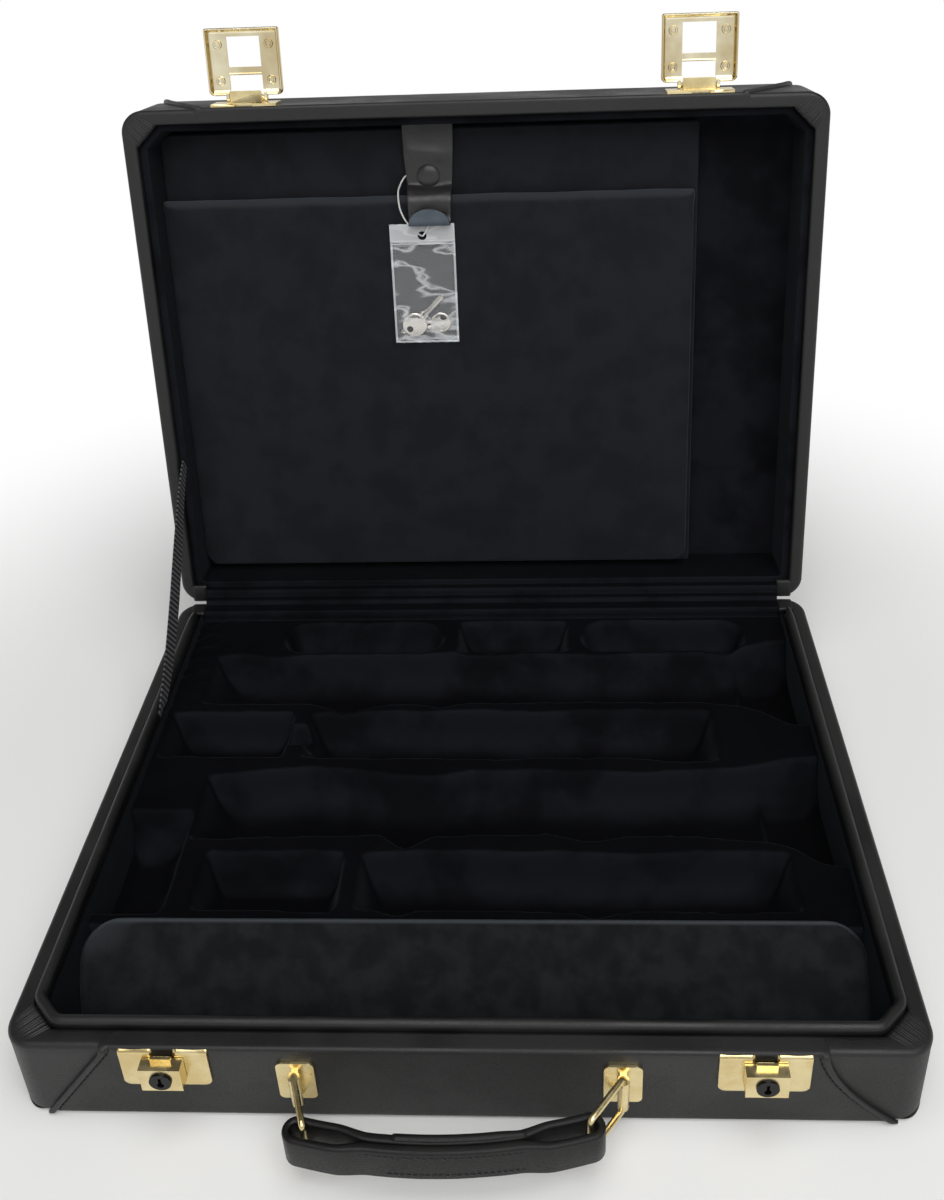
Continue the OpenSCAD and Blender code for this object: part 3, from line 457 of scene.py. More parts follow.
def slab(outer, inner):
    """A closed sheet with thickness, from two grids of points."""
    rows, columns = len(outer), len(outer[0])
    points = [p for row in outer for p in row] + [p for row in inner for p in row]
    back = rows * columns
    faces = []
    for i in range(rows - 1):
        for k in range(columns - 1):
            a, b = i * columns + k, (i + 1) * columns + k
            faces.append((a, a + 1, b + 1, b))
            faces.append((back + a, back + b, back + b + 1, back + a + 1))
    border = grid_border(rows, columns)
    for (i, k), (i2, k2) in zip(border, border[1:] + border[:1]):
        a, b = i * columns + k, i2 * columns + k2
        faces.append((a, back + a, back + b, b))
    return points, faces


def sheet(rows, columns, at):
    """A slab from at(row, column), which gives an outer and an inner point. Each row may have columns of its
    own, as columns(row)."""
    outer, inner = [], []
    for row in rows:
        pairs = [at(row, column) for column in (columns(row) if callable(columns) else columns)]
        outer.append([pair[0] for pair in pairs])
        inner.append([pair[1] for pair in pairs])
    return slab(outer, inner)


def pillow(rows, normal):
    """A closed soft board. Each row is its half thickness and its (middle, distance to the edge) places."""
    outer, inner = [], []
    for half, places in rows:
        lifts = [normal * half * max(round_edge(edge, half), math.sqrt(0.015)) for point, edge in places]
        outer.append([point + lift for (point, edge), lift in zip(places, lifts)])
        inner.append([point - lift for (point, edge), lift in zip(places, lifts)])
    return slab(outer, inner)


def edge_steps(length, count, near=(0, 0.25, 0.6, 1.1, 1.8, 3.0)):
    """Places from 0 to length, close together at both ends."""
    return [*near, *steps(near[-1], length - near[-1], count)[1:-1], *(length - v for v in reversed(near))]


def smooth_path(points, pieces):
    """A curve through the points, with this many pieces between each pair."""
    pts = [Vector(p) for p in points]
    last = len(pts) - 1
    out = []
    for i in range(last):
        a, b, c, d = (pts[min(max(i + k, 0), last)] for k in (-1, 0, 1, 2))
        for j in range(pieces):
            t = j / pieces
            out.append(0.5 * (2 * b + (c - a) * t + (2 * a - 5 * b + 4 * c - d) * t * t
                              + (3 * b - a - 3 * c + d) * t ** 3))
    return out + [pts[-1]]


def divided(points, longest, closed=False):
    """The same run of points, with its long stretches cut into pieces of about this length."""
    out = []
    for a, b in zip(points, points[1:] + points[:1] if closed else points[1:]):
        pieces = max(1, round((b - a).length / longest))
        out += [a.lerp(b, i / pieces) for i in range(pieces)]
    return out if closed else out + [points[-1]]


def run_lengths(path):
    """How far along the path each of its points lies."""
    run = [0.0]
    for a, b in zip(path, path[1:]):
        run.append(run[-1] + (b - a).length)
    return run


def heading(path, i, closed=False):
    """The path's direction at its point i."""
    last = len(path) - 1
    ahead = path[0 if closed and i == last else min(i + 1, last)]
    behind = path[i - 1 if closed else max(i - 1, 0)]
    return (Vector(ahead) - Vector(behind)).normalized()


def tube(path, section, side, closed=False):
    """Sweeps section(i), as (across, up) pairs, along a path. Up stays as near to side as it can."""
    rings = []
    for i, p in enumerate(path):
        along = heading(path, i, closed)
        across = along.cross(Vector(side)).normalized()
        up = across.cross(along)
        rings.append([Vector(p) + across * a + up * b for a, b in section(i)])
    return loft(rings, path_closed=closed)


def lathe(profile, centre, count=40):
    """Turns (radius, out) pairs round the lid's d axis, out towards the rim."""
    x, d, s = centre
    rings = [[(x + r * math.cos(a), d - out, s + r * math.sin(a)) for r, out in profile]
             for a in angles(0, 360, count)[:-1]]
    return loft(rings, ring_closed=False, path_closed=True)


def soften_edges(piece, edge, slices=2):
    soften = piece.modifiers.new("edges", "BEVEL")
    soften.width = edge * MM
    soften.segments = slices
    soften.limit_method = "ANGLE"
    soften.angle_limit = math.radians(32)
    soften.harden_normals = True


def dress(node, material, edge=0.0, slices=2):
    """A CAD node kept as it is, with its material and softened edges."""
    piece = frame["nodes"][node]
    piece.data.materials.clear()
    piece.data.materials.append(material)
    if edge:
        weld = piece.modifiers.new("weld", "WELD")
        weld.merge_threshold = 2e-6
        soften_edges(piece, edge, slices)


# Clear bag with two small keys

BAG_X, BAG_W, BAG_FOOT, BAG_TOP, BAG_ZIP = -32.0, 38.0, 167.5, 239.5, 228.6
BAG_D = 16.0
FILM_T = 0.12
KEYS_S = 179
HOLE_S, HOLE_R = 232.7, 2.6
KEY_LENGTH, KEY_T = 25.0, 0.85
KEY_NECK_HALF, KEY_BLADE_HALF = 3.1, 2.1
# Each key's x, s, turn in degrees, d and head radius.
KEYS = ((-39.3, 178.0, 46.0, 18.4, 7.5), (-23.8, 178.8, 193.0, 19.6, 6.4))
KEY_EYES = ((-42.4, 17.62, 175.4), (-22.0, 18.8, 182.4))
KEY_HEAD = ((0.0, 0.55), (0.35, 0.5), (0.7, 0.62), (0.8, 0.95), (0.9, 1.0), (0.98, 0.8), (1.0, 0.5),
            (0.98, 0.1), (0.9, 0.0), (0.0, 0.0))
KEY_EYE = ((0.0, 0.1), (1.4, 0.1), (1.9, 0.0), (2.0, -0.2), (0.0, -0.2))


def bag_piece(name, parts, material, replaces=(), smooth=True):
    return make_piece(name, parts, material, "strap", replaces, lid_point, smooth)


def bag_film(name, offset, swell, seed):
    """One film of the pouch, creased, with its bulge over the keys."""
    def at(s, share):
        x = BAG_X - BAG_W / 2 + BAG_W * share
        border, up = min(share, 1 - share) * BAG_W, s - BAG_FOOT
        fold = abs(wander(x * 0.5 + s * 0.16, s * 0.9 - x * 0.55, seed, 7.5))
        rise = swell * ease(0, 9, border) * (0.55 + 0.45 * bell(s, KEYS_S, 9)) * ease(0, 4, up)
        rise += (fold * 1.1 - 0.3) * ease(0.8, 5, border) * ease(1, 6, up) * (1 if swell > 0 else 0.2)
        d = BAG_D + offset - rise
        return (x, d, s), (x, d + FILM_T, s)

    bag_piece(name, [sheet(steps(BAG_FOOT, BAG_ZIP, 48), steps(0, 1, 28), at)], CLEAR)


def bag_header():
    """Flat double film over the zip, with the round hole for the loop."""
    half, low, high = BAG_W / 2, BAG_ZIP - 0.2, BAG_TOP
    front, back = BAG_D + 0.1, BAG_D + 0.6
    rings = []
    for k in range(48):
        a = math.tau * (k + 0.5) / 48
        c, s = math.cos(a), math.sin(a)
        reach = min(half / abs(c), (high - HOLE_S if s > 0 else HOLE_S - low) / abs(s))
        rings.append([(BAG_X + r * c, d, HOLE_S + r * s)
                      for r, d in ((HOLE_R, front), (reach, front), (reach, back), (HOLE_R, back))])
    return bag_piece("bag_header", [loft(rings, path_closed=True)], CLEAR_HEAD, ["key_bag"], smooth=False)


def bag_welds():
    """Welded sides and foot, the header's edge and the zip's two ridges."""
    half = BAG_W / 2
    runs = []
    for x in (BAG_X - half + 0.5, BAG_X + half - 0.5):
        runs.append(([(x, BAG_D + 0.45, s) for s in steps(BAG_FOOT, BAG_TOP, 24)], 0.7, 0.22))
    for s, wide, thick in ((BAG_FOOT + 0.5, 0.6, 0.22), (BAG_TOP - 0.3, 0.5, 0.2),
                           (BAG_ZIP + 0.9, 0.5, 0.55), (BAG_ZIP - 0.8, 0.5, 0.55)):
        points = [(x, BAG_D + 0.3, s + 0.12 * math.sin(i * 1.9))
                  for i, x in enumerate(steps(BAG_X - half, BAG_X + half, 24))]
        runs.append((points, wide, thick))
    parts = [tube(points, lambda i: oval(wide, thick, 8), (0, -1, 0)) for points, wide, thick in runs]
    bag_piece("bag_welds", parts, CLEAR_WELD)


def key(x, s, turn, d, head_r):
    """A flat key in the lid's frame: dished round head with a rim, and a notched blade."""
    head = lathe([(head_r * share, out) for share, out in KEY_HEAD], (x, d, s), 44)
    cos, sin = math.cos(math.radians(turn)), math.sin(math.radians(turn))
    rings = []
    for along in steps(head_r * 0.8, KEY_LENGTH, 40):
        bite = 0.0 if along < head_r + 4 else 0.75 * abs(math.sin(along * 1.35)) + 0.2
        tip = ease(KEY_LENGTH, KEY_LENGTH - 2.0, along) * 0.75 + 0.25
        wide = (KEY_NECK_HALF if along < head_r + 2.2 else KEY_BLADE_HALF) * tip
        high, low = wide - bite, -wide
        section = [(high, 0.15), (high - 0.2, KEY_T), (0.5, KEY_T), (0.35, 0.55), (-0.35, 0.55),
                   (-0.5, KEY_T), (low + 0.2, KEY_T), (low, 0.15)]
        rings.append([(x + along * cos - across * sin, d - out, s + along * sin + across * cos)
                      for across, out in section])
    return [head, loft(rings)]


def keys():
    parts = [part for place in KEYS for part in key(*place)]
    make_piece("two_keys", parts, NICKEL, "strap", ["keys"], lid_point)
    eyes = [lathe(KEY_EYE, centre, 24) for centre in KEY_EYES]
    make_piece("key_eyes", eyes, BLACK_PLASTIC, "strap", place=lid_point)


# Elastic loop that holds the key bag. It hangs behind the strap and the bag's header.
LOOP_ROUTE = [
    (-33.5, 28, 266), (-37, 28, 266.5), (-40.4, 27.8, 266.2), (-42.8, 26.2, 263.8), (-44.4, 23, 260.6),
    (-45, 19.4, 258), (-45.0, 18.4, 253.5), (-44.2, 17.9, 248), (-42.0, 17.6, 242.5), (-38.6, 17.6, 237.6),
    (-35.2, 17.6, 234.2), (-33.0, 17.0, 232.8), (-31.6, 15.8, 232.7), (-30.2, 15.2, 234.4),
    (-28.4, 15.1, 237.6), (-26.2, 16.0, 241.4), (-23.4, 17.4, 246.2), (-21.2, 18.8, 250.6),
    (-20.2, 19.3, 254.4), (-19.8, 22.8, 257.2), (-19.8, 26.3, 259.4), (-20.0, 28.0, 262.2),
    (-20.6, 28.4, 264.6), (-21.6, 28.4, 265.8), (-23.4, 28.2, 266.2)
]
LOOP_DIA = 1.0


def elastic_loop(header):
    line = bpy.data.curves.new("key_loop", "CURVE")
    line.dimensions = "3D"
    line.bevel_depth = LOOP_DIA / 2 * MM
    line.bevel_resolution = 4
    line.use_fill_caps = True
    path = smooth_path([lid_point(*p) for p in LOOP_ROUTE], 5)
    spline = line.splines.new("POLY")
    spline.points.add(len(path) - 1)
    for point, place in zip(spline.points, path):
        point.co = (*(place * MM), 1)
    line.materials.append(ELASTIC)
    piece = add_object("elastic_loop", line)
    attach(piece, "strap")
    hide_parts("key_loop")


elastic_loop(bag_header())
bag_film("bag_back_film", 3.0, -0.1, 2.0)
bag_film("bag_front_film", 0.9, 0.9, 5.0)
bag_welds()
keys()


# Leather shells of base and lid

TUCKS = 13
ROLL_R = 2.4
FOOT_R = 3.0
EDGE_BAND = 3.0
SEAT_DEPTH = 8.0
HIDE_T = 1.15


def flip(point):
    return Vector((-point.x, point.y))


def outline_stations(rim_w, back_steps=0):
    """Places round the case: outer point, inward normal, inner rim point and how far round a corner, or -1.
    back_steps adds places along the sides' last 50 mm, for small pleats."""
    hw, hd, r = CASE_W / 2, CASE_D / 2, CORNER_R
    ix, iy = hw - rim_w, hd - rim_w

    def between(a, b, t):
        return Vector(a).lerp(Vector(b), t)

    def straight(a, b, inner_a, inner_b, normal, shares):
        return [(between(a, b, t), Vector(normal), between(inner_a, inner_b, t), -1.0) for t in shares]

    def corner(centre, start, inner_a, inner_b, count):
        places = []
        for t, angle in zip(steps(0, 1, count), angles(start, start + 90, count)):
            out = Vector((math.cos(angle), math.sin(angle)))
            places.append((Vector(centre) + out * r, -out, between(inner_a, inner_b, t), t))
        return places[1:-1]

    side = steps(0, 1, 56)
    if back_steps:
        side = [v for v in side if v < 0.82] + steps(0.82, 1, back_steps)
    back_half = hw - r
    tab = (back_half - HINGE_HALF) / (2 * back_half)
    tab_side = [0, tab * 0.6, tab, tab + 0.0001]
    back = tab_side + steps(tab, 1 - tab, 60)[1:-1] + [1 - v for v in reversed(tab_side)]
    front = straight((-back_half, -hd), (back_half, -hd), (-ix + BEAD_CUT, -iy), (ix - BEAD_CUT, -iy),
                     (0, 1), steps(0, 1, 72))
    right = corner((back_half, -hd + r), -90, (ix - BEAD_CUT, -iy), (ix, -iy + BEAD_CUT), 72)
    right += straight((hw, -hd + r), (hw, hd - r), (ix, -iy + BEAD_CUT), (ix, iy - 2), (-1, 0), side)
    right += corner((back_half, hd - r), 0, (ix, iy - 2), (back_half, iy), 20)
    rear = straight((back_half, hd), (-back_half, hd), (back_half, iy), (-back_half, iy), (0, -1), back)
    left = [(flip(outer), flip(inward), flip(inner), 1 - share if share > 0 else share)
            for outer, inward, inner, share in reversed(right)]
    return front + right + rear + left


def shell_outside(height, rim_w, foot_end, foot_count):
    """Outside of the leather, as (in from the side, down from the rim), from the opening to the far edge."""
    rim = [(rim_w + 0.15, 5.7), (rim_w + 0.15, 1.0), (rim_w - 0.25, 0.3), (rim_w - 0.8, 0.02), (6.2, -0.03),
           (4.8, -0.05), (3.6, -0.04)]
    roll = arc((ROLL_R, ROLL_R), ROLL_R, 270, 180, 6)
    wall = [(0.0, q) for q in steps(ROLL_R, height - FOOT_R, 8)[1:-1]]
    return rim + roll + wall + arc((FOOT_R, height - FOOT_R), FOOT_R, 180, foot_end, foot_count)


def pleats(share, across):
    """Small tucks in the leather where it turns a front corner."""
    depth = 0.0
    for k in range(TUCKS):
        middle = 0.06 + 0.88 * k / (TUCKS - 1) + 0.012 * math.sin(k * 2.3)
        depth += bell(share, middle, 0.010 + 0.003 * math.sin(k * 1.7)) * (0.7 + 0.3 * math.sin(k * 3.1))
    return depth * 0.8 * ease(2.2, 6.0, across)


def side_pleats(y, across):
    """Slanting creases in the lid's side rims, near the hinge."""
    near = ease(CASE_D / 2 - 58, CASE_D / 2 - 40, y) * ease(0.8, 2.0, across) * (1 - ease(6.6, 7.6, across))
    wave = 0.5 + 0.5 * math.sin((y - 0.9 * across) * math.tau / 2.3)
    return 0.28 * near * wave ** 3


def shell_point(station, t, q, rim_w, place):
    """A point of the leather, t in from the side and q down from the rim."""
    outer, inward, inner, share = station
    flat = outer + inward * t
    if t > EDGE_BAND and q < 9:
        start = outer + inward * EDGE_BAND
        flat = start + (inner - start) * (t - EDGE_BAND) / (rim_w - EDGE_BAND)
    if q < 3.0:
        if share > 0 and outer.y < 0:
            q += pleats(share, t)
        if place is on_lid and share < 0 and abs(outer.x) > CASE_W / 2 - 1:
            q += side_pleats(flat.y, t)
        q += 0.05 * wander(flat.x, flat.y, 3.0, 14.0)
    elif t < 0.5:
        flat = flat - inward * (0.10 * wander(outer.x, outer.y, q, 26.0) - 0.1)
    if share < 0 and outer.y > CASE_D / 2 - 0.1 and abs(outer.x) < HINGE_HALF and q < SEAT_DEPTH:
        q = HINGE_DROP + q * (SEAT_DEPTH - HINGE_DROP) / SEAT_DEPTH
    return place(flat.x, flat.y, q)


def on_base(x, y, q):
    return (x, y, BASE_H - q)


def on_lid(x, y, q):
    return lid_point(x, RIM_GAP + q, CASE_D / 2 - y)


def base_shell():
    contour = shell_outside(BASE_H, RIM_W, 144, 4)
    contour += [(1.9, BASE_H - 1.2), (HIDE_T, BASE_H - 4), (HIDE_T, 24.0), (HIDE_T, 5.0), (2.6, 1.2),
                (6.9, HIDE_T), (7.2, 5.7)]
    rings = [[shell_point(st, t, q, RIM_W, on_base) for t, q in contour] for st in outline_stations(RIM_W)]
    make_piece("base_shell", [loft(rings, path_closed=True)], LEATHER, "base", ["base_leather"])


def lid_shell():
    outside = shell_outside(LID_H, LID_RIM_W, 90, 6) + [(5.0, LID_H), (9.0, LID_H)]
    inside = [(9.0, LID_H - 1.1), (3.6, LID_H - HIDE_T), (HIDE_T, LID_H - 4), (HIDE_T, 24.0), (HIDE_T, 5.0),
              (2.6, 1.2), (LID_RIM_W - 1.3, HIDE_T), (LID_RIM_W - 1.0, 5.7)]
    rings = [[shell_point(st, t, q, LID_RIM_W, on_lid) for t, q in outside + inside]
             for st in outline_stations(LID_RIM_W, 120)]
    points, faces = loft(rings, path_closed=True)
    count = len(rings[0])
    last_outer, first_inner = len(outside) - 1, len(outside)
    faces = [f for f in faces if {i % count for i in f} != {last_outer, first_inner}]
    for row in (last_outer, first_inner):
        faces.append(tuple(i * count + row for i in range(len(rings))))
    make_piece("lid_shell", [(points, faces)], LEATHER, "lid", ["lid_leather"])


base_shell()
lid_shell()


# Extra leather panels on the fronts, with folded and stitched ends

SEAM_IN = 4.3
FOLD_STEPS = (0, 0.15, 0.4, 0.8, 1.5, 2.3, 2.9, 3.4, 3.9, SEAM_IN, 4.7, 5.3, 6.5, 9)
PANEL_LEATHER_T = 1.05


def front_surface(x, t, q, place):
    """A point t in from the front's face and q down from the rim, following the corners."""
    return place(x, -CASE_D / 2 + corner_cut(CASE_W / 2 - abs(x), CORNER_R) + t, q)


def panel_run(height, rim_w):
    """From the rim's inner edge over the roll and down: (in, down, way out, way up, share of the fold)."""
    roll_r, rim_q = 1.7, -0.11
    middle_t, middle_q = roll_r - PANEL_T, roll_r + rim_q
    run = [(t, rim_q, 0.0, 1.0, 0.02) for t in steps(rim_w - 0.3, middle_t, 6)[:-1]]
    for sin, cos in ((math.sin(a), math.cos(a)) for a in angles(0, 90, 8)):
        run.append((middle_t - roll_r * sin, middle_q - roll_r * cos, sin, cos, 0.02 + 0.98 * sin ** 3))
    run += [(-PANEL_T, q, 1.0, 0.0, 1.0) for q in steps(middle_q, height - 2.8, 16)[1:]]
    run.append((0.15 - PANEL_T, height - 1.7, 1.0, 0.0, 0.8))
    run.append((0.45 - PANEL_T, height - 1.1, 1.0, 0.0, 0.6))
    return run


def fold_height(edge):
    """Height of the folded edge, by the distance in from the panel's end."""
    return 1.15 * round_edge(edge, 0.8) * (1 - ease(2.6, 3.8, edge)) - 0.3 * bell(edge, SEAM_IN, 0.5)


def front_panel(node, height, ends, rim_w, poke, body, place):
    """ends gives the panel's left and right end. Its folded ends stand out past the far edge by poke."""
    name, run = node + "_leather", panel_run(height, rim_w)

    def columns(row):
        left, right = ends(*row[:2])
        return ([left + e for e in FOLD_STEPS] + steps(left + 9, right - 9, 36)[1:-1]
                + [right - e for e in reversed(FOLD_STEPS)])

    def at(row, x):
        t, q, way_out, way_up, share = row
        left, right = ends(t, q)
        edge = min(x - left, right - x)
        lift = fold_height(edge) * share + 0.07 * share * wander(x, q, 0.0, 17.0) * ease(4.0, 12.0, edge)
        lift -= (0.1 + 0.7 * share) * (1 - min(edge / 0.3, 1.0))
        far = q + poke * ease(height - 9, height - 1, q) * (1 - ease(2.2, 4.2, edge))
        return [front_surface(x, t + way * way_out, far + way * way_up, place)
                for way in (-lift, PANEL_LEATHER_T)]

    make_piece(name, [sheet(run, columns, at)], LEATHER, body, [node])
    for side, end, inward in (("left", 0, SEAM_IN), ("right", 1, -SEAM_IN)):
        seam = []
        for t, q, way_out, way_up, share in run:
            x, sunk = ends(t, q)[end] + inward, 0.3 - 0.22 * share
            seam.append(front_surface(x, t + sunk * way_out, q + sunk * way_up, place))
        stitches(f"{name}_stitches_{side}", seam, body)


def stitches(name, seam, body, pitch=3.1, length=2.2, radius=0.27, thread=THREAD):
    """Thread along a seam: a row of short rounded stitches."""
    path = smooth_path(seam, 6)
    run = run_lengths(path)
    coords = np.array([tuple(p) for p in path])
    parts = []
    at = 1.5
    while at + length < run[-1]:
        start, end = (Vector([np.interp(v, run, coords[:, k]) for k in range(3)]) for v in (at, at + length))
        across = (end - start).cross(Vector((0, -1, 0.4))).normalized()
        rise = across.cross((end - start).normalized())
        rings = []
        for share, size in ((0.0, 0.25), (0.12, 0.75), (0.35, 1.0), (0.65, 1.0), (0.88, 0.75), (1.0, 0.25)):
            middle, r = start + (end - start) * share, radius * size
            rings.append([middle + across * a + rise * b for a, b in oval(r, r, 6)])
        parts.append(loft(rings))
        at += pitch
    make_piece(name, parts, thread, body)


def base_panel_ends(t, q):
    on_rim = ease(1.5, RIM_W, t)
    left = -154.0 - 31.6 * max(q - 3.0, 0.0) / (BASE_H - 3.0) + 5.0 * on_rim
    down = max(q - 2.0, 0.0) / (BASE_H - 2.0)
    return left, 152.6 + 34.2 * (0.3 * down + 0.7 * down * down) - 1.4 * on_rim


def lid_panel_ends(t, q):
    on_rim = ease(1.5, RIM_W, t)
    down = max(q - 2.0, 0.0) / (LID_H - 2.0)
    return -154.5 - 31 * down + 2.5 * on_rim, 153 + 32 * down - 3.0 * on_rim


front_panel("base_front_panel", BASE_H, base_panel_ends, RIM_W, 0.8, "base", on_base)
front_panel("lid_front_panel", LID_H, lid_panel_ends, LID_RIM_W, 2.2, "lid", on_lid)


# Bead round the base's opening

def rounded_corners(points, radius, count):
    """A polyline with its inner corners turned into small curves."""
    out = [Vector(points[0])]
    for a, b, c in zip(*([Vector(p) for p in points[first:]] for first in range(3))):
        start, end = b + (a - b).normalized() * radius, b + (c - b).normalized() * radius
        out += [start * (1 - t) ** 2 + b * 2 * t * (1 - t) + end * t * t for t in steps(0, 1, count)]
    return out + [Vector(points[-1])]


def base_bead():
    half = BEAD_W / 2
    x, y = IN_X - half, -IN_Y + half
    c = BEAD_CUT - half * (2 - math.sqrt(2))
    back = IN_Y - RIM_W / 2
    corners = [(-x, back, 0), (-x, y + c, 0), (-x + c, y, 0), (x - c, y, 0), (x, y + c, 0), (x, back, 0)]
    path = divided(rounded_corners(corners, 3.0, 6), 4)
    tip = (0.35, 0.75, 0.94)
    foot = BASE_H - 6

    def section(i):
        end = min(i, len(path) - 1 - i)
        scale = tip[end] if end < len(tip) else 1.0
        p = path[i]
        wide = half * scale * (1 + 0.03 * wander(p.x, p.y, 9.0, 12.0))
        high = BEAD_RISE * (0.4 + 0.6 * scale) + 0.16 * wander(p.x, p.y, 4.0, 20.0) - 0.16
        crown = [(wide * math.cos(a), BASE_H + high - half + half * math.sin(a)) for a in angles(0, 180, 12)]
        return [(wide, foot)] + crown + [(-wide, foot)]

    make_piece("bead", [tube(path, section, (0, 0, 1))], LEATHER, "base", ["base_bead"])


base_bead()


# Velvet insert: one moulded surface with the instruments' hollows

INSERT_TOP = 38.0
PAD_TOP = 12.0
INSERT_BACK = IN_Y - 1
INSERT_FRONT = -86.0
LEDGE_Y = -77.0
RECESS_Y, RECESS_R, RECESS_HALF, RECESS_DEPTH, RECESS_EDGE = 128.0, 13.5, 35.5, 21, 8.0
BELL_YS, BELL_HALF, BELL_FROM, BELL_DEPTH = (84.5, -14), 34, 150, 5.0
JOINT_R, UPPER_R = 21.5, 16.7
BEYOND = 190
# The lips of the four rows of hollows, counted from the hinge, as (x, y) places.
ROW_1_FRONT = [(-170, 69), (-104, 68.5), (-80, 61.5), (-56, 67), (-31, 67.5), (-25, 64), (-14, 68), (77, 69),
               (127, 68), (150, 64.5), (163, 58), (172, 50), (184, 48.5)]
ROW_1_BACK = [(-170, 110), (-150, 112), (-128, 107), (-104, 112), (-40, 111), (-5, 112.5), (36, 110),
              (70, 107.5), (100, 111), (128, 111.5), (150, 114), (163, 117), (172, 120), (184, 121.5)]
ROW_2_FRONT = [(-100, 25), (-60, 24), (20, 23.5), (50, 24.5), (84, 24), (100, 21.5), (118, 20.8), (134, 23)]
ROW_2_BACK = [(-100, 57), (-84, 60), (-30, 59), (0, 60.5), (30, 58), (60, 60), (110, 59.5), (134, 58)]
ROW_3_FRONT = [(-150, -33), (-49, -30.5), (-36, -40.5), (-22, -31), (35, -29.5), (58, -35), (79, -31),
               (118, -31.5), (148, -35.5), (160, -39), (172, -49), (184, -50)]
ROW_3_BACK = [(-150, 9), (-128, 12), (-92, 15), (-70, 13.5), (-44, 9.5), (-20, 8.5), (-5, 12.5), (60, 12),
              (90, 10), (112, 13), (140, 14.5), (155, 17.5), (168, 21), (184, 22.5)]
ROW_4_FRONT = [(-60, -77), (-46, -77), (-36, -80), (-25, -77), (48, -77), (60, -80), (72, -77), (160, -77)]
ROW_4_BACK = [(-60, -45), (-40, -43.5), (-8, -42), (14, -44.5), (40, -43), (80, -45.5), (112, -43),
              (160, -44)]


def ramp(values):
    return np.clip(values, 0, 1)


def rounded(share):
    """A quarter circle's height, for shares from 0 to 1."""
    return np.sqrt(ramp(1 - (1 - share) ** 2))


def hollow(x, y, left, right, front, back, depth, radius):
    """How far a hollow sinks at each point. It is as round below as radius asks, and upright at its lip."""
    soft = 0.7
    inside = -soft * np.log(sum(np.exp(-v / soft) for v in (x - left, right - x, y - front, back - y)))
    return depth * rounded(ramp(inside / radius))


def recess(x, y, middle):
    across = np.hypot(np.maximum(np.abs(x - middle) - RECESS_HALF, 0), y - RECESS_Y)
    return RECESS_DEPTH * rounded(ramp((RECESS_R - across) / RECESS_EDGE))


def line(x, places):
    """A smooth line through (x, y) places."""
    xs, ys = np.array(places, float).T
    fine = np.linspace(xs[0], xs[-1], 400)
    kernel = np.hanning(13)
    padded = np.pad(np.interp(fine, xs, ys), 6, mode="edge")
    return np.interp(x, fine, np.convolve(padded, kernel / kernel.sum(), mode="valid"))


def insert_depth(x, y):
    """Depth of the insert's surface below its top. A box is (left, right, front, back, depth, radius)."""
    left, lower = -CLEAR_X, INSERT_TOP - PAD_TOP
    sink = np.maximum(recess(x, y, -77), recess(x, y, 109))
    for box in ((-17, 49, RECESS_Y - RECESS_R, RECESS_Y + RECESS_R, 20, 9),
                (left + 18, BEYOND, line(x, ROW_1_FRONT), line(x, ROW_1_BACK), lower, JOINT_R),
                (left + 4, left + 73, 25.5, 59, lower - 2, 12),
                (left + 71, left + 87, 36, 49, 15, 6),
                (left + 85, left + 312, line(x, ROW_2_FRONT), line(x, ROW_2_BACK), lower - 1, UPPER_R),
                (left + 36.5, BEYOND, line(x, ROW_3_FRONT), line(x, ROW_3_BACK), lower, JOINT_R),
                (left - 6, left + 33, -78, -16, lower + 2, 14),
                (left + 48, left + 117, -77, -43.5, lower - 1, 9),
                (left + 127, left + 339, line(x, ROW_4_FRONT), line(x, ROW_4_BACK), lower, UPPER_R)):
        sink = np.maximum(sink, hollow(x, y, *box))
    for bell_y in BELL_YS:
        well = ramp((BELL_HALF - np.abs(y - bell_y)) / 14) * ramp((x - BELL_FROM) / 3)
        sink = sink + BELL_DEPTH * well * ramp(sink / 12) ** 2
    return sink


def uneven(x, y, z, size):
    """wander over grids of places."""
    return np.vectorize(lambda a, b: wander(a, b, z, size))(x, y)


def blurred(grid, axis):
    edged = np.pad(grid, [(2, 2) if axis == side else (0, 0) for side in (0, 1)], mode="edge")
    weights = (0.06, 0.24, 0.4, 0.24, 0.06)
    return sum(w * np.take(edged, range(i, i + grid.shape[axis]), axis=axis) for i, w in enumerate(weights))


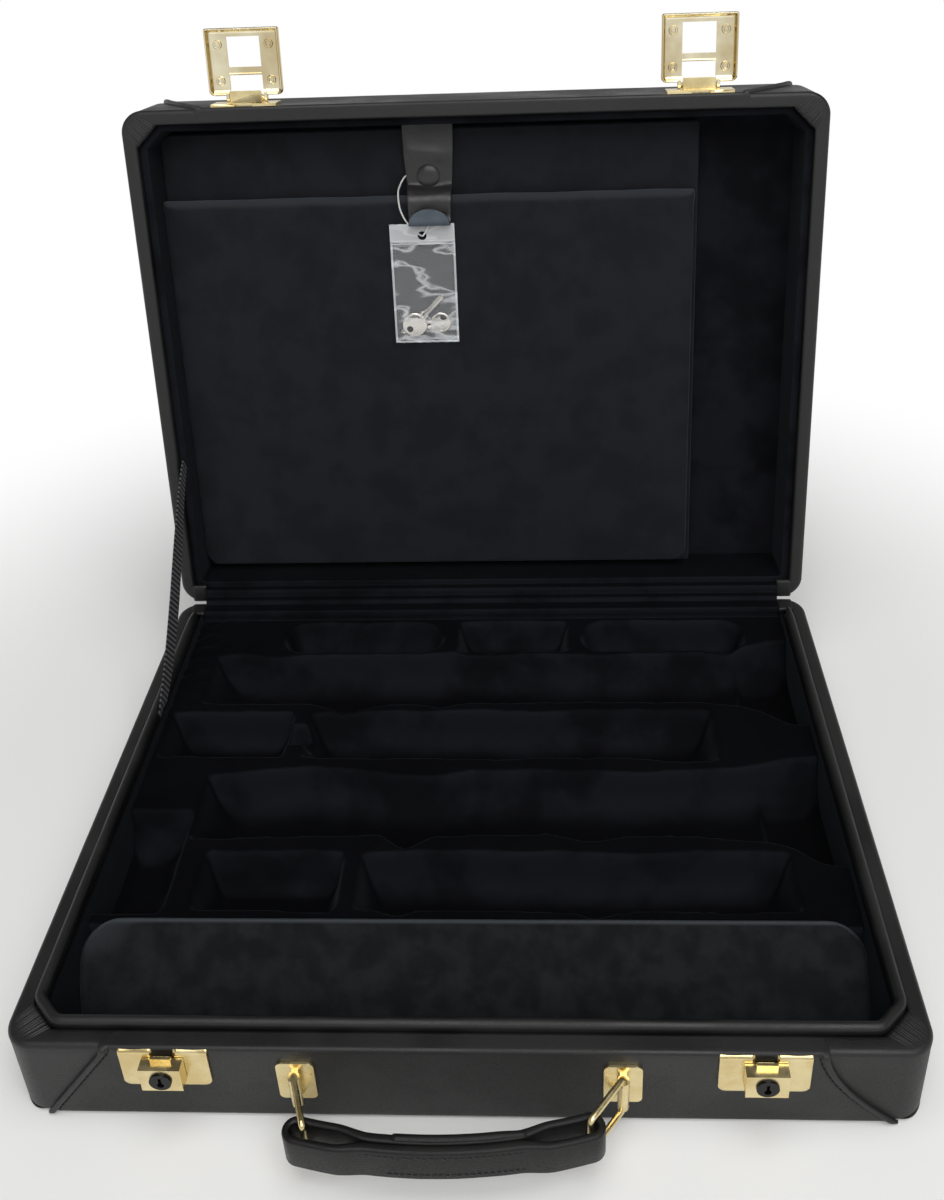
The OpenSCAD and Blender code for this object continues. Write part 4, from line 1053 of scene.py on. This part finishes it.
def velvet_insert():
    step_x, step_y = 1.25, 1.0
    xs = np.linspace(-CLEAR_X + 0.1, CLEAR_X - 0.1, int(2 * CLEAR_X / step_x))
    ys = np.linspace(INSERT_FRONT + 0.05, INSERT_BACK - 0.05, int((INSERT_BACK - INSERT_FRONT) / step_y))
    x, y = np.meshgrid(xs, ys)
    sway, ripple = uneven(x, y, 1.0, 22.0), uneven(x, y, 7.0, 5.5)
    sink = blurred(blurred(insert_depth(x + 1.5 * sway, y + 1.1 * sway + 0.45 * ripple), 0), 1)
    height = INSERT_TOP - sink - ramp((LEDGE_Y - y) / 3.0) - 0.25 * np.abs(sway) - 0.12 * np.abs(ripple)
    # Slanting folds in the slot at the front left, and loose velvet in the corner at the back left.
    slot = ramp((x + CLEAR_X) / 4) * ramp((-150 - x) / 10) * ramp((-12 - y) / 8)
    height += slot * 1.6 * np.sin((x * 0.5 + y * 0.9) / 4.5) * ramp(sink / 20)
    loose = ramp((-158 - x) / 12) * ramp((y - 52) / 8)
    height += loose * (1.8 * np.abs(uneven(x + y * 0.3, y * 1.2 - x * 0.4, 4.0, 11.0)) - 0.6)
    height -= 0.8 * ramp((INSERT_FRONT + 2.2 - y) / 2.2)
    rows, columns = x.shape
    foot = PAD_TOP - 5.4
    points = list(zip(x.flat, y.flat, np.maximum(height, foot + 0.5).flat))
    faces = [(i * columns + k, i * columns + k + 1, (i + 1) * columns + k + 1, (i + 1) * columns + k)
             for i in range(rows - 1) for k in range(columns - 1)]
    border = grid_border(rows, columns)
    start = len(points)
    points += [(x[place], y[place], foot) for place in border]
    for n, ((i, k), (i2, k2)) in enumerate(zip(border, border[1:] + border[:1])):
        faces.append((i * columns + k, start + n, start + (n + 1) % len(border), i2 * columns + k2))
    faces.append(tuple(start + n for n in range(len(border))))
    nodes = ("pad", "back_strip", "rib_1", "rib_2", "rib_3", "ledge", "blocks")
    make_piece("velvet_insert", [(points, faces)], VELVET, "base", [f"insert_{n}" for n in nodes])


velvet_insert()


# Front board, leaning back over the front compartment

BOARD_T, BOARD_H, BOARD_R, BOARD_FOOT = 4.0, 42.0, 17.0, 6.5
BOARD_LEAN = math.radians(38.5)


def front_board():
    sin, cos = math.sin(BOARD_LEAN), math.cos(BOARD_LEAN)
    length = (BOARD_H - BOARD_FOOT - BOARD_T * sin) / cos
    back_y = INSERT_FRONT - 0.4 - (INSERT_TOP - 1 - BOARD_FOOT) * math.tan(BOARD_LEAN)
    along, out = Vector((0, sin, cos)), Vector((0, -cos, sin))
    start = Vector((0, back_y, BOARD_FOOT)) + out * BOARD_T / 2
    rows = []
    for v in edge_steps(length, 14):
        reach = CLEAR_X - 0.3 - corner_cut(length - v, BOARD_R)
        places = []
        for u in edge_steps(2 * reach, 70):
            x = -reach + u
            bow = 0.5 * wander(x, v, 0.0, 45.0) * ease(0, 10, v)
            bow += 4.5 * math.sin(math.pi * min(v / length, 1.0)) * ease(-148, -176, x)
            places.append((start + along * v + Vector((x, 0, 0)) + out * bow,
                           min(u, 2 * reach - u, length - v + 0.3)))
        rows.append((BOARD_T / 2, places))
    make_piece("front_board_velvet", [pillow(rows, out)], BOARD_VELVET, "base", ["front_board"])


front_board()


# Pocket in the lid

POCKET_FACE, POCKET_T = 20.0, 3.0
POCKET_FOOT, POCKET_H, POCKET_W = 17.0, 238.0, 311.0
POCKET_LEFT = -(CASE_W / 2 - LID_RIM_W - 4.5) + 0.5
POCKET_FOOT_R, POCKET_HEAD_R = 9.0, 1.6
HEM = 3.3


def pocket_pad():
    rows = []
    for v in edge_steps(POCKET_H, 60, (0, 0.3, 0.8, 1.5, 2.3, 3.2, 4.2, 6.0)):
        below = POCKET_H - v
        near = min(v, below)
        r = POCKET_FOOT_R if v < below else POCKET_HEAD_R
        cut = corner_cut(near, r) - 0.8 * ease(9, 4, below)
        head = ease(15, 5, below)
        half = POCKET_T / 2 + HEM * head
        places = []
        for u in edge_steps(POCKET_W - 2 * cut, 70):
            x = POCKET_LEFT + cut + u
            edge = min(u, POCKET_W - 2 * cut - u, near)
            puff = 0.5 * ease(0, 26, edge) + 0.3 * wander(x, v, 0.0, 34.0) * ease(0, 12, edge)
            crumple = bell(x, -150, 26) * bell(v, 34, 30)
            puff += 0.5 * crumple * wander(x * 1.6 + v, v * 0.6 - x * 0.4, 9.0, 9.0)
            face = POCKET_FACE - puff + half - 0.7 * ease(16, 7, below)
            sag = 0.5 * wander(x, 0, 3.0, 30.0) + 0.2 * wander(x, 0, 8.0, 9.0)
            places.append((Vector((x, face, POCKET_FOOT + v + head * sag)), edge))
        rows.append((half, places))
    piece = make_piece("pocket_pad", [pillow(rows, Vector((0, 1, 0)))], POCKET_VELVET, "lid",
                       ["pocket_panel"], lid_point)


pocket_pad()


# Velvet strip over the hinge, and the stay ribbon

KNUCKLE_R = 2.75
RIBBON_W, RIBBON_T, RIBBON_TWIST = 8.6, 0.9, 0.32
RIBBON_ROUTE = [(-184.6, 55.0, 41.0), (-184.0, 52.6, 45.0), (-182.2, 56.0, 52.5), (-181.4, 72.0, 66.0),
                (-181.8, 97.0, 86.0), (-183.3, 124.0, 107.5), (-184.6, 148.0, 127.0), (-184.9, 163.0, 139.0),
                (-184.9, 167.5, 141.6)]


def hinge_strip():
    around = [(HINGE_Y + KNUCKLE_R * math.cos(a), HINGE_Z + KNUCKLE_R * math.sin(a))
              for a in map(math.radians, (172, 150, 125, 100, 78))]
    base_side = [(145.5, 41.0), (145.5, 43.6), (146.2, 45.0), (149.0, 45.3), (151.4, 45.3)]
    on_lid_side = ((1.15, 3.4), (1.0, 5.2), (1.2, 7.4), (2.4, 8.3), (5.9, 8.5))
    lid_side = [lid_point(0, d, s)[1:] for d, s in on_lid_side]
    path = smooth_path([(0, y, z) for y, z in base_side + around + lid_side], 3)
    half = HINGE_HALF - 0.15

    def at(i, u):
        normal = Vector((1, 0, 0)).cross(heading(path, i))
        middle = Vector((-half + u, path[i].y, path[i].z))
        return middle + normal * (0.25 + 0.12 * wander(u, i * 3.0, 5.0, 9.0)), middle - normal * 0.35

    piece = make_piece("hinge_velvet", [sheet(range(len(path)), edge_steps(2 * half, 90), at)], VELVET, None,
                       ["hinge_cover_base", "hinge_cover_lid"])
    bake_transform(piece)


def stay_ribbon():
    path = smooth_path(RIBBON_ROUTE, 6)

    def section(i):
        w, t = RIBBON_W / 2, RIBBON_T / 2
        twist = RIBBON_TWIST * math.sin(math.pi * ease(0.05, 0.95, i / (len(path) - 1)))
        c, s = math.cos(twist), math.sin(twist)
        return [(a * c - b * s, a * s + b * c) for a, b in ((-w, -t), (-w, t), (w, t), (w, -t))]

    piece = make_piece("ribbon", [tube(path, section, (-1, 0, 0))], TWILL, None, ["stay_ribbon"],
                       smooth=False)
    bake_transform(piece)


hinge_strip()
stay_ribbon()


# Handle

HANDLE_W, HANDLE_T = 17.8, 8.0
HANDLE_Z = 25.0
HANDLE_X, HANDLE_Y, HANDLE_TURN = -6.2, -178.1, math.radians(1.5)
BOW_R, BOW_DROP = 244.0, 9.6
LOOP_HOLE_R, LOOP_WALL = 2.6, 3.3
LOOP_START, LOOP_OPEN, LOOP_END = 30.0, 45.0, 60.5
SLEEVE_START, SLEEVE_TAPER, SLEEVE_END, SLEEVE_R = -20.5, 22.0, 34.0, 1.7


def handle_point(arc_x, out, up):
    """A point of the handle: along its bow, out from the bow's middle line towards the front, and up."""
    angle = arc_x / BOW_R
    r = BOW_R + out
    x, y = r * math.sin(angle), BOW_R - BOW_DROP - r * math.cos(angle)
    c, s = math.cos(HANDLE_TURN), math.sin(HANDLE_TURN)
    return Vector((HANDLE_X + x * c - y * s, HANDLE_Y + x * s + y * c, HANDLE_Z + up))


def handle_gap(arc_x):
    """Half the distance between the middle lines of the handle's front and back runs."""
    at_loop = ease(LOOP_START, LOOP_OPEN, abs(arc_x))
    return HANDLE_T / 4 + (LOOP_HOLE_R + LOOP_WALL / 2 - HANDLE_T / 4) * at_loop


def handle_loop_path():
    """Once round the handle's leather, as (along, out)."""
    front = [(x, handle_gap(x)) for x in steps(-LOOP_END, LOOP_END, 64)]
    end = arc((LOOP_END, 0), handle_gap(LOOP_END), 90, -90, 12)[1:-1]
    return front + end + [(x, -out) for x, out in reversed(front)] + [(-x, -out) for x, out in end]


def rounded_section(half_t, half_w, radius):
    """Corners of a strap's section, rounded, as (across, up)."""
    points = []
    for sx, sy, start in ((1, 1, 0), (-1, 1, 90), (-1, -1, 180), (1, -1, 270)):
        points += arc((sx * (half_t - radius), sy * (half_w - radius)), radius, start, start + 90, 4)
    return points


def handle_band():
    places = handle_loop_path()

    def section(i):
        x, out = places[i]
        thick = HANDLE_T / 2 + (LOOP_WALL - HANDLE_T / 2) * ease(LOOP_START, LOOP_OPEN, abs(x))
        wide = HANDLE_W - 0.6 * ease(35, 60, abs(x))
        swell = 0.1 * wander(x, out * 3, 2.0, 12.0)
        r = min(1.25, thick / 2 - 0.25)
        return rounded_section(thick / 2 + swell * 0.4 - 0.02, wide / 2 - 0.1 + swell, r)

    band = tube([handle_point(x, out, 0) for x, out in places], section, (0, 0, 1), closed=True)
    make_piece("handle_leather", [band], HANDLE_LEATHER, "handle", ["handle_band"])


def handle_sleeve():
    """Thin leather wrapped over the back run of the handle."""
    r, face = SLEEVE_R, -HANDLE_T / 2
    rings = []
    for i, x in enumerate(steps(SLEEVE_START, SLEEVE_END, 36)):
        taper = ease(SLEEVE_END, SLEEVE_TAPER, x) if x > SLEEVE_TAPER else 1.0
        lift = 0.6 * (0.15 + 0.85 * taper) * (0.75 if i == 0 else 1.0)
        back, half = face - lift, HANDLE_W / 2 + lift * 0.55
        outside = arc((back + r, half - r), r, 90, 180, 4) + arc((back + r, -half + r), r, 180, 270, 4)
        flap, cut = face + 3.2, HANDLE_W / 2 - 1.6
        contour = [(flap, half), *outside, (flap, -half), (flap, -half + 0.9), (face + 1.2, -cut),
                   (face + 1.2, cut), (flap, half - 0.9)]
        rings.append([handle_point(x, out, up) for out, up in contour])
    make_piece("sleeve", [loft(rings)], HANDLE_LEATHER, "handle", ["handle_sleeve"])


def handle_stitches():
    for name, height, start, end in (("upper", 5.6, -35.0, 40.0), ("lower", -5.4, -24.0, 40.0)):
        seam = [handle_point(x, HANDLE_T / 2 + 0.02, height) for x in steps(start, end, 30)]
        stitches(f"handle_stitches_{name}", seam, "handle", 2.6, 1.9, 0.36, HANDLE_THREAD)


handle_band()
handle_sleeve()
handle_stitches()

PLATE_T, BARREL_R, BARREL_GAP = 1.2, 2.5, 0.4
PLATE_FACE = FRONT_Y - PLATE_T
EYE_Y = PLATE_FACE - BARREL_R - BARREL_GAP
RING_L, RING_T, RING_PIVOT_R, RING_BEND_R = 23.6, 2.8, 1.42, 2.2
RING_H = HANDLE_W + 0.6 + 2 * RING_T
# Each ring's side, x and turn in degrees.
RINGS = (("left", -70.8, 19.0), ("right", 67.8, -38.0))


def handle_ring(side, x, turn):
    """A ring with rounded corners: one bar turns in the plate, the other passes through the handle."""
    half, r = RING_H / 2 - RING_T / 2, RING_BEND_R
    flat = []
    for near, high, start in ((-RING_L + r, -half + r, 180), (-r, -half + r, 270), (-r, half - r, 0),
                              (-RING_L + r, half - r, 90)):
        flat += arc((near, high), r, start, start + 90, 5)
    path = divided([Vector(p) for p in flat], 3, closed=True)
    sin, cos = math.sin(turn), math.cos(turn)
    points = [Vector((x - p.x * sin, EYE_Y + p.x * cos, HANDLE_Z + p.y)) for p in path]

    def section(i):
        near = ease(-4.5, -1.0, path[i].x)
        wide = RING_T / 2 + (RING_PIVOT_R - RING_T / 2) * near
        return oval(wide * (0.86 + 0.14 * near), wide, 14)

    ring = tube(points, section, (cos, sin, 0), closed=True)
    body = f"handle_ring_{side}"
    make_piece(f"ring_{side}", [ring], BRASS, body, [body])


for ring_side, ring_x, ring_turn in RINGS:
    handle_ring(ring_side, ring_x, math.radians(ring_turn))


# Strap with a curled tip, and its stud cap

STRAP_X, STRAP_T = -27.0, 1.8
STRAP_HALF, STRAP_SPREAD, STRAP_TIP = 12.2, 2.4, 10.5
STRAP_ROUTE = [(27.0, 297.0), (26.3, 287.0), (25.4, 277.0), (26.0, 268.0), (25.4, 261.0), (20.6, 257.2),
               (17.3, 253.5), (16.6, 248.0), (16.2, 244.0), (14.6, 240.6), (12.2, 240.0), (10.5, 241.9),
               (10.0, 245.4), (9.6, 249.6)]
STUD_PLACE = (STRAP_X - 0.4, 25.0, 266.0)
STUD_PROFILE = [(0.0, 2.1), (1.6, 2.04), (3.2, 1.86), (4.7, 1.48), (5.9, 0.92), (6.5, 0.45), (6.75, 0.2),
                (6.8, 0.0), (6.7, -0.5), (0.0, -0.5)]


def strap_layer(near, far):
    """The strap between two offsets from its middle, as a closed sheet."""
    path = smooth_path([(0, d, s) for d, s in STRAP_ROUTE], 6)
    run = run_lengths(path)

    def at(i, u):
        here = run[i]
        normal = heading(path, i).cross(Vector((1, 0, 0)))
        tip = max(round_edge(run[-1] - here, STRAP_TIP), 0.02)
        half = (STRAP_HALF + STRAP_SPREAD * ease(240, 292, path[i].z)) * tip
        wave = 0.3 * wander(u * 14, here, 0.0, 6.0) + 0.5 * u * u * bell(here, 45, 9)
        wave += 0.9 * bell(here, 18 + 2 * u, 3.2) * (1 - 0.5 * u * u)
        wave -= 0.5 * bell(here, 38 + 1.5 * u, 2.6) * (1 - u * u)
        edge = 0.25 * (1 - min((1 - abs(u)) / 0.08, 1.0))
        base = path[i] + normal * wave + Vector((STRAP_X + half * u, 0, 0))
        return base + normal * (far - edge), base + normal * (near + edge)

    return sheet(range(len(path)), [math.sin(a) for a in angles(-90, 90, 24)], at)


def strap_and_stud():
    upper, lower = strap_layer(-STRAP_T / 6, STRAP_T / 2), strap_layer(-STRAP_T / 2, -STRAP_T / 6)
    make_piece("strap_leather", [upper], STRAP_LEATHER, "strap", ["strap"], lid_point)
    make_piece("strap_suede", [lower], SUEDE, "strap", place=lid_point)
    dome = lathe(STUD_PROFILE, STUD_PLACE)
    make_piece("stud_cap_dome", [dome], STUD_BLACK, "strap", ["stud_cap"], lid_point)


strap_and_stud()


# Lock plates, with a lip bent back over the rim's edge

LOCK_X, LOCK_W, LOCK_FOOT, LOCK_TOP, LOCK_R = 126.5, 38.4, 22.8, 45.5, 3.5
LOCK_PLATE_T = 1.15
NOTCH_W, NOTCH_H = 9.3, 4.0
LIP = ((0.0, 0.0), (0.0, 0.01), (0.0, 0.04), (0.0, 0.1), (0.0, 0.2), (0.0, 0.5), (0.0, 0.8), (0.0, 0.875),
       (0.12, 0.9), (0.5, 0.93), (1.1, 0.96), (1.9, 0.985), (2.7, 1.0))


def lock_plate(name, x):
    half, notch = LOCK_W / 2, NOTCH_W / 2
    left = [-half + v for v in (0, 0.15, 0.4, 0.8, 1.4, 2.2, 3.2, 4.5, 7, 10, 13)] + [-notch - 0.05, -notch]
    us = left + steps(-notch, notch, 5)[1:-1] + [-v for v in reversed(left)]

    def at(row, u):
        back, share = row
        edge = half - abs(u)
        foot = LOCK_FOOT + corner_cut(edge, LOCK_R)
        in_notch = abs(u) <= notch + 0.02
        top = LOCK_TOP - NOTCH_H if in_notch else LOCK_TOP
        z = foot + (top - foot) * share
        sunk = 0.0 if in_notch else back
        near = min(edge, z - foot, (top - z) * 1.5 + 0.15)
        soft = 0.4 * (1 - round_edge(near, 0.7))
        dip = 0.18 * bell(edge, 6, 3.5) * ease(2, 6, z - foot)
        y = PLATE_FACE + sunk
        return (x + u, y + soft + dip, z), (x + u, y + LOCK_PLATE_T, z - 0.25 * sunk)

    node = f"lock_plate_{name}"
    make_piece(node + "_brass", [sheet(LIP, us, at)], BRASS, "base", [node])


lock_plate("left", -LOCK_X)
lock_plate("right", LOCK_X)


# Hasps: cast boxes, open towards the case, with a rounded wall, two windows and four round bosses

HASP_D, HASP_OUT = 13.7, 3.5
HASP_S = CASE_D + PANEL_T + HASP_OUT
HASP_HALF, HASP_FOOT, HASP_TOP = 20.8, 1.5, 38.0
HASP_RIM, HASP_FACE, HASP_PLATE = -3.2, 2.2, 0.9
HASP_FOOT_R, HASP_TOP_R = 3.0, 1.3
WINDOW_HALF = 9.3
BAR_LOW, BAR_HIGH, WINDOW_TOP = 12.4, 16.8, 33.2
WALL_FOOT_W = 3.1
EAR_R, EAR_IN, EAR_OUT = 1.9, 9.75, 11.65
BOSS_U, BOSS_LOW, BOSS_HIGH = 14.4, 9.5, 29.0
HASP_LIP_R = 0.62
BOSS = ((0.0, 0.3), (1.2, 0.34), (1.5, 0.62), (2.2, 0.62), (2.5, 0.3), (2.6, -0.2), (0.0, -0.2))


def hasp_stations():
    """Places along the wall, from one end of its foot round to the other: a function of the distance in
    from the outside, and how much the wall is cut down there."""
    half, foot, top = HASP_HALF, HASP_FOOT, HASP_TOP

    def straight(start, end, inward, count, low):
        return [(lambda w, p=Vector(start).lerp(Vector(end), t): p + Vector(inward) * w, low)
                for t in steps(0, 1, count)]

    def corner(sharp, inward, radius, start, low):
        centre = Vector(sharp) + Vector(inward) * radius

        def place(out):
            return lambda w: centre + (out * (radius - w) if w <= radius else Vector(inward) * (w - radius))

        return [(place(Vector((math.cos(a), math.sin(a)))), low * left)
                for a, left in zip(angles(start, start - 90, 8), steps(1, 0, 8))]

    gap, reach = WINDOW_HALF + 0.4, WALL_FOOT_W + 0.1
    left = straight((-gap, foot), (-half + reach, foot), (0, 1), 6, 1.0)
    left += corner((-half, foot), (1, 1), HASP_FOOT_R, -90, 1.0)
    left += straight((-half, foot + reach), (-half, top - reach), (1, 0), 14, 0.0)
    left += corner((-half, top), (1, -1), HASP_TOP_R, 180, 0.0)
    head = straight((-half + reach, top), (half - reach, top), (0, -1), 14, 0.0)
    return left + head + [(lambda w, at=at: flip(at(w)), low) for at, low in reversed(left)]


def hasp_wall():
    """The wall's section: (in from the outside, depth), rolled at its rim and filled at its foot."""
    rings = []
    for at, low in hasp_stations():
        rim = HASP_RIM + 1.6 * low
        contour = [(0.0, 0.8), (0.1, 1.3), (0.41, 1.79), (0.9, 2.1), (1.4, HASP_FACE),
                   (WALL_FOOT_W, HASP_FACE), (WALL_FOOT_W, HASP_PLATE), (2.3, 0.78), (1.7, 0.4), (1.4, -0.2),
                   (1.28, -0.9), (1.24, rim + 0.7), (1.1, rim + 0.3), (0.85, rim + 0.06), (0.6, rim),
                   (0.35, rim + 0.06), (0.12, rim + 0.3), (0.0, rim + 0.7)]
        rings.append([(at(w).x, depth, at(w).y) for w, depth in contour])
    return loft(rings)


def hasp_face_plate():
    """The plate between the walls, as a grid with the cells of its two windows left out."""
    side = HASP_HALF - WALL_FOOT_W + 0.05
    us = [-side, -WINDOW_HALF, WINDOW_HALF, side]
    ss = [HASP_FOOT + WALL_FOOT_W - 0.05, BAR_LOW, BAR_HIGH, WINDOW_TOP, HASP_TOP - WALL_FOOT_W + 0.05]
    points = [(u, depth, s) for depth in (HASP_PLATE + 0.02, HASP_FACE - 0.02) for s in ss for u in us]
    count, layer = len(us), len(us) * len(ss)
    kept = [(i, k) for i in range(len(ss) - 1) for k in range(count - 1) if not (k == 1 and i in (0, 2))]
    faces = []
    for i, k in kept:
        a, b, c, d = i * count + k, i * count + k + 1, (i + 1) * count + k + 1, (i + 1) * count + k
        faces += [(a, b, c, d), (layer + a, layer + d, layer + c, layer + b)]
        for beside, p, q in (((i - 1, k), a, b), ((i, k + 1), b, c), ((i + 1, k), c, d), ((i, k - 1), d, a)):
            if beside not in kept:
                faces.append((p, layer + p, layer + q, q))
    return points, faces


def hasp_ear(inner, outer):
    """One of the two ears that turn on the pin."""
    profile = arc((0, 0), EAR_R, 180, 360, 12) + [(EAR_R, 2.7), (-1.7, 2.7)]
    return loft([[(inner + (outer - inner) * share, depth * size, s * size) for depth, s in profile]
                 for share, size in ((0, 0.88), (0.1, 1.0), (0.9, 1.0), (1, 0.88))])


def hasp(name, x):
    parts = [hasp_wall(), hasp_face_plate(), hasp_ear(EAR_IN, EAR_OUT), hasp_ear(-EAR_IN, -EAR_OUT)]
    parts += [lathe(BOSS, (u, HASP_PLATE, s), 28) for u in (-BOSS_U, BOSS_U) for s in (BOSS_LOW, BOSS_HIGH)]
    lip = [(u, HASP_PLATE + 0.1, BAR_LOW + 0.7) for u in (-9.2, -9.0, -4.0, 0.0, 4.0, 9.0, 9.2)]
    parts.append(tube(lip, lambda i: arc((0, 0), HASP_LIP_R, 0, 330, 11), (0, 1, 0)))
    piece = make_piece(f"hasp_{name}_brass", parts, HASP_BRASS, f"hasp_{name}", [f"hasp_{name}"],
                       lambda u, depth, s: lid_point(x + u, HASP_D + depth, HASP_S + s))
    soften_edges(piece, 0.22)


hasp("left", -LOCK_X)
hasp("right", LOCK_X)


# Leather tabs at the hinge's ends

TAB_INNER, TAB_OUTER = 181.6, 191.0
TAB_RUN = ((143.4, 2.6), (143.5, 0.5), (144.0, -0.02), (145.0, -0.08), (147.0, -0.09), (150.6, -0.08),
           (152.6, 0.2), (154.6, 0.9), (155.5, 2.2), (155.6, 4.2))


def hinge_tab(name, low_x, high_x, place, body):
    def at(row, share):
        y, q = row
        x = low_x + (high_x - low_x) * share
        side = 0.6 * (1 - round_edge(min(share, 1 - share) * (high_x - low_x), 1.2))
        return (place(x, y, q + side + 0.05 * abs(wander(x, y, 0.0, 3.0))),
                place(x, min(max(y, 144.3), 154.2), max(q + side, 0.3) + 0.9))

    make_piece(name, [sheet(TAB_RUN, steps(0, 1, 12), at)], LEATHER, body)


for tab_side, low_x, high_x in (("left", -TAB_OUTER, -TAB_INNER), ("right", TAB_INNER, TAB_OUTER)):
    hinge_tab(f"hinge_tab_base_{tab_side}", low_x, high_x, on_base, "base")
    hinge_tab(f"hinge_tab_lid_{tab_side}", low_x, high_x, on_lid, "lid")


# CAD pieces that keep their shape

for node, material in (("base_carcass", WOOD), ("lid_carcass", WOOD), ("base_bottom_leather", LEATHER),
                       ("base_lining", VELVET), ("lid_lining", VELVET), ("hinge_pin", NICKEL),
                       ("hinge_leaf_base", BRASS), ("hinge_leaf_lid", BRASS)):
    dress(node, material)
dress("lid_frame", VELVET, 1.8, 4)
dress("pocket_back_board", POCKET_VELVET, 0.9, 3)
dress("pocket_gusset", VELVET, 0.9, 3)
dress("stud_socket", NICKEL, 0.2)
for side in ("left", "right"):
    dress(f"lock_box_{side}", BRASS, 0.35, 3)
    dress(f"lock_cylinder_{side}", BLACK_PLASTIC, 0.3, 3)
    dress(f"handle_plate_{side}", BRASS, 0.3, 3)
    dress(f"hasp_plate_{side}", BRASS, 0.25)
    dress(f"hasp_pin_{side}", BRASS, 0.2)


# Floor and light

FLOOR_REACH = 6.0
FLOOR_Z = -0.0004
LAMPS = (("overhead", (0.15, -0.45, 2.1), (0, 0, 0), (1.6, 1.6), 22),
         ("window", (0.45, -1.8, 2.1), (0, 0, 0.1), (2.9, 1.5), 36))


def make_floor():
    """A light floor that turns into plain white away from the case, for the camera and for reflections."""
    mesh = bpy.data.meshes.new("floor")
    r = FLOOR_REACH
    mesh.from_pydata([(-r, -r, 0), (r, -r, 0), (r, r, 0), (-r, r, 0)], [], [(0, 1, 2, 3)])
    floor = add_object("floor", mesh)
    material, tree, shader = new_material("floor", {"Roughness": 0.9, "Base Color": (0.9, 0.9, 0.89)})
    path = tree.nodes.new("ShaderNodeLightPath").outputs
    away = add_node(tree, "VectorMath", {0: coordinate(tree)}, operation="LENGTH").outputs["Value"]
    reflected = math_node(tree, "MAXIMUM", path["Is Glossy Ray"], path["Is Transmission Ray"])
    seen = math_node(tree, "MAXIMUM", path["Is Camera Ray"], reflected)
    blend = add_node(tree, "MixShader", {"Fac": times(tree, seen, range_node(tree, away, 0.28, 0.62)),
                                         1: shader.outputs["BSDF"],
                                         2: add_node(tree, "Emission", {}).outputs["Emission"]})
    feed(tree, tree.nodes["Material Output"], {"Surface": blend.outputs["Shader"]})
    mesh.materials.append(material)
    floor.location.z = FLOOR_Z


def make_light():
    world = bpy.context.scene.world or bpy.data.worlds.new("world")
    bpy.context.scene.world = world
    world.use_nodes = True
    tree = world.node_tree
    up = axes_of(tree, coordinate(tree, "Generated"))["Z"]
    glow = range_node(tree, up, 0.0, 0.7, 0.75, 0.10)
    feed(tree, tree.nodes["Background"], {"Color": (1, 1, 1), "Strength": glow})
    for name, place, aim, size, power in LAMPS:
        data = bpy.data.lights.new(name, "AREA")
        data.shape = "RECTANGLE"
        data.size, data.size_y = size
        data.energy = power
        lamp = add_object(name, data)
        lamp.location = place
        lamp.rotation_mode = "QUATERNION"
        lamp.rotation_quaternion = (Vector(aim) - Vector(place)).to_track_quat("-Z", "Y")


make_floor()
make_light()
bpy.context.scene.view_settings.view_transform = "Standard"
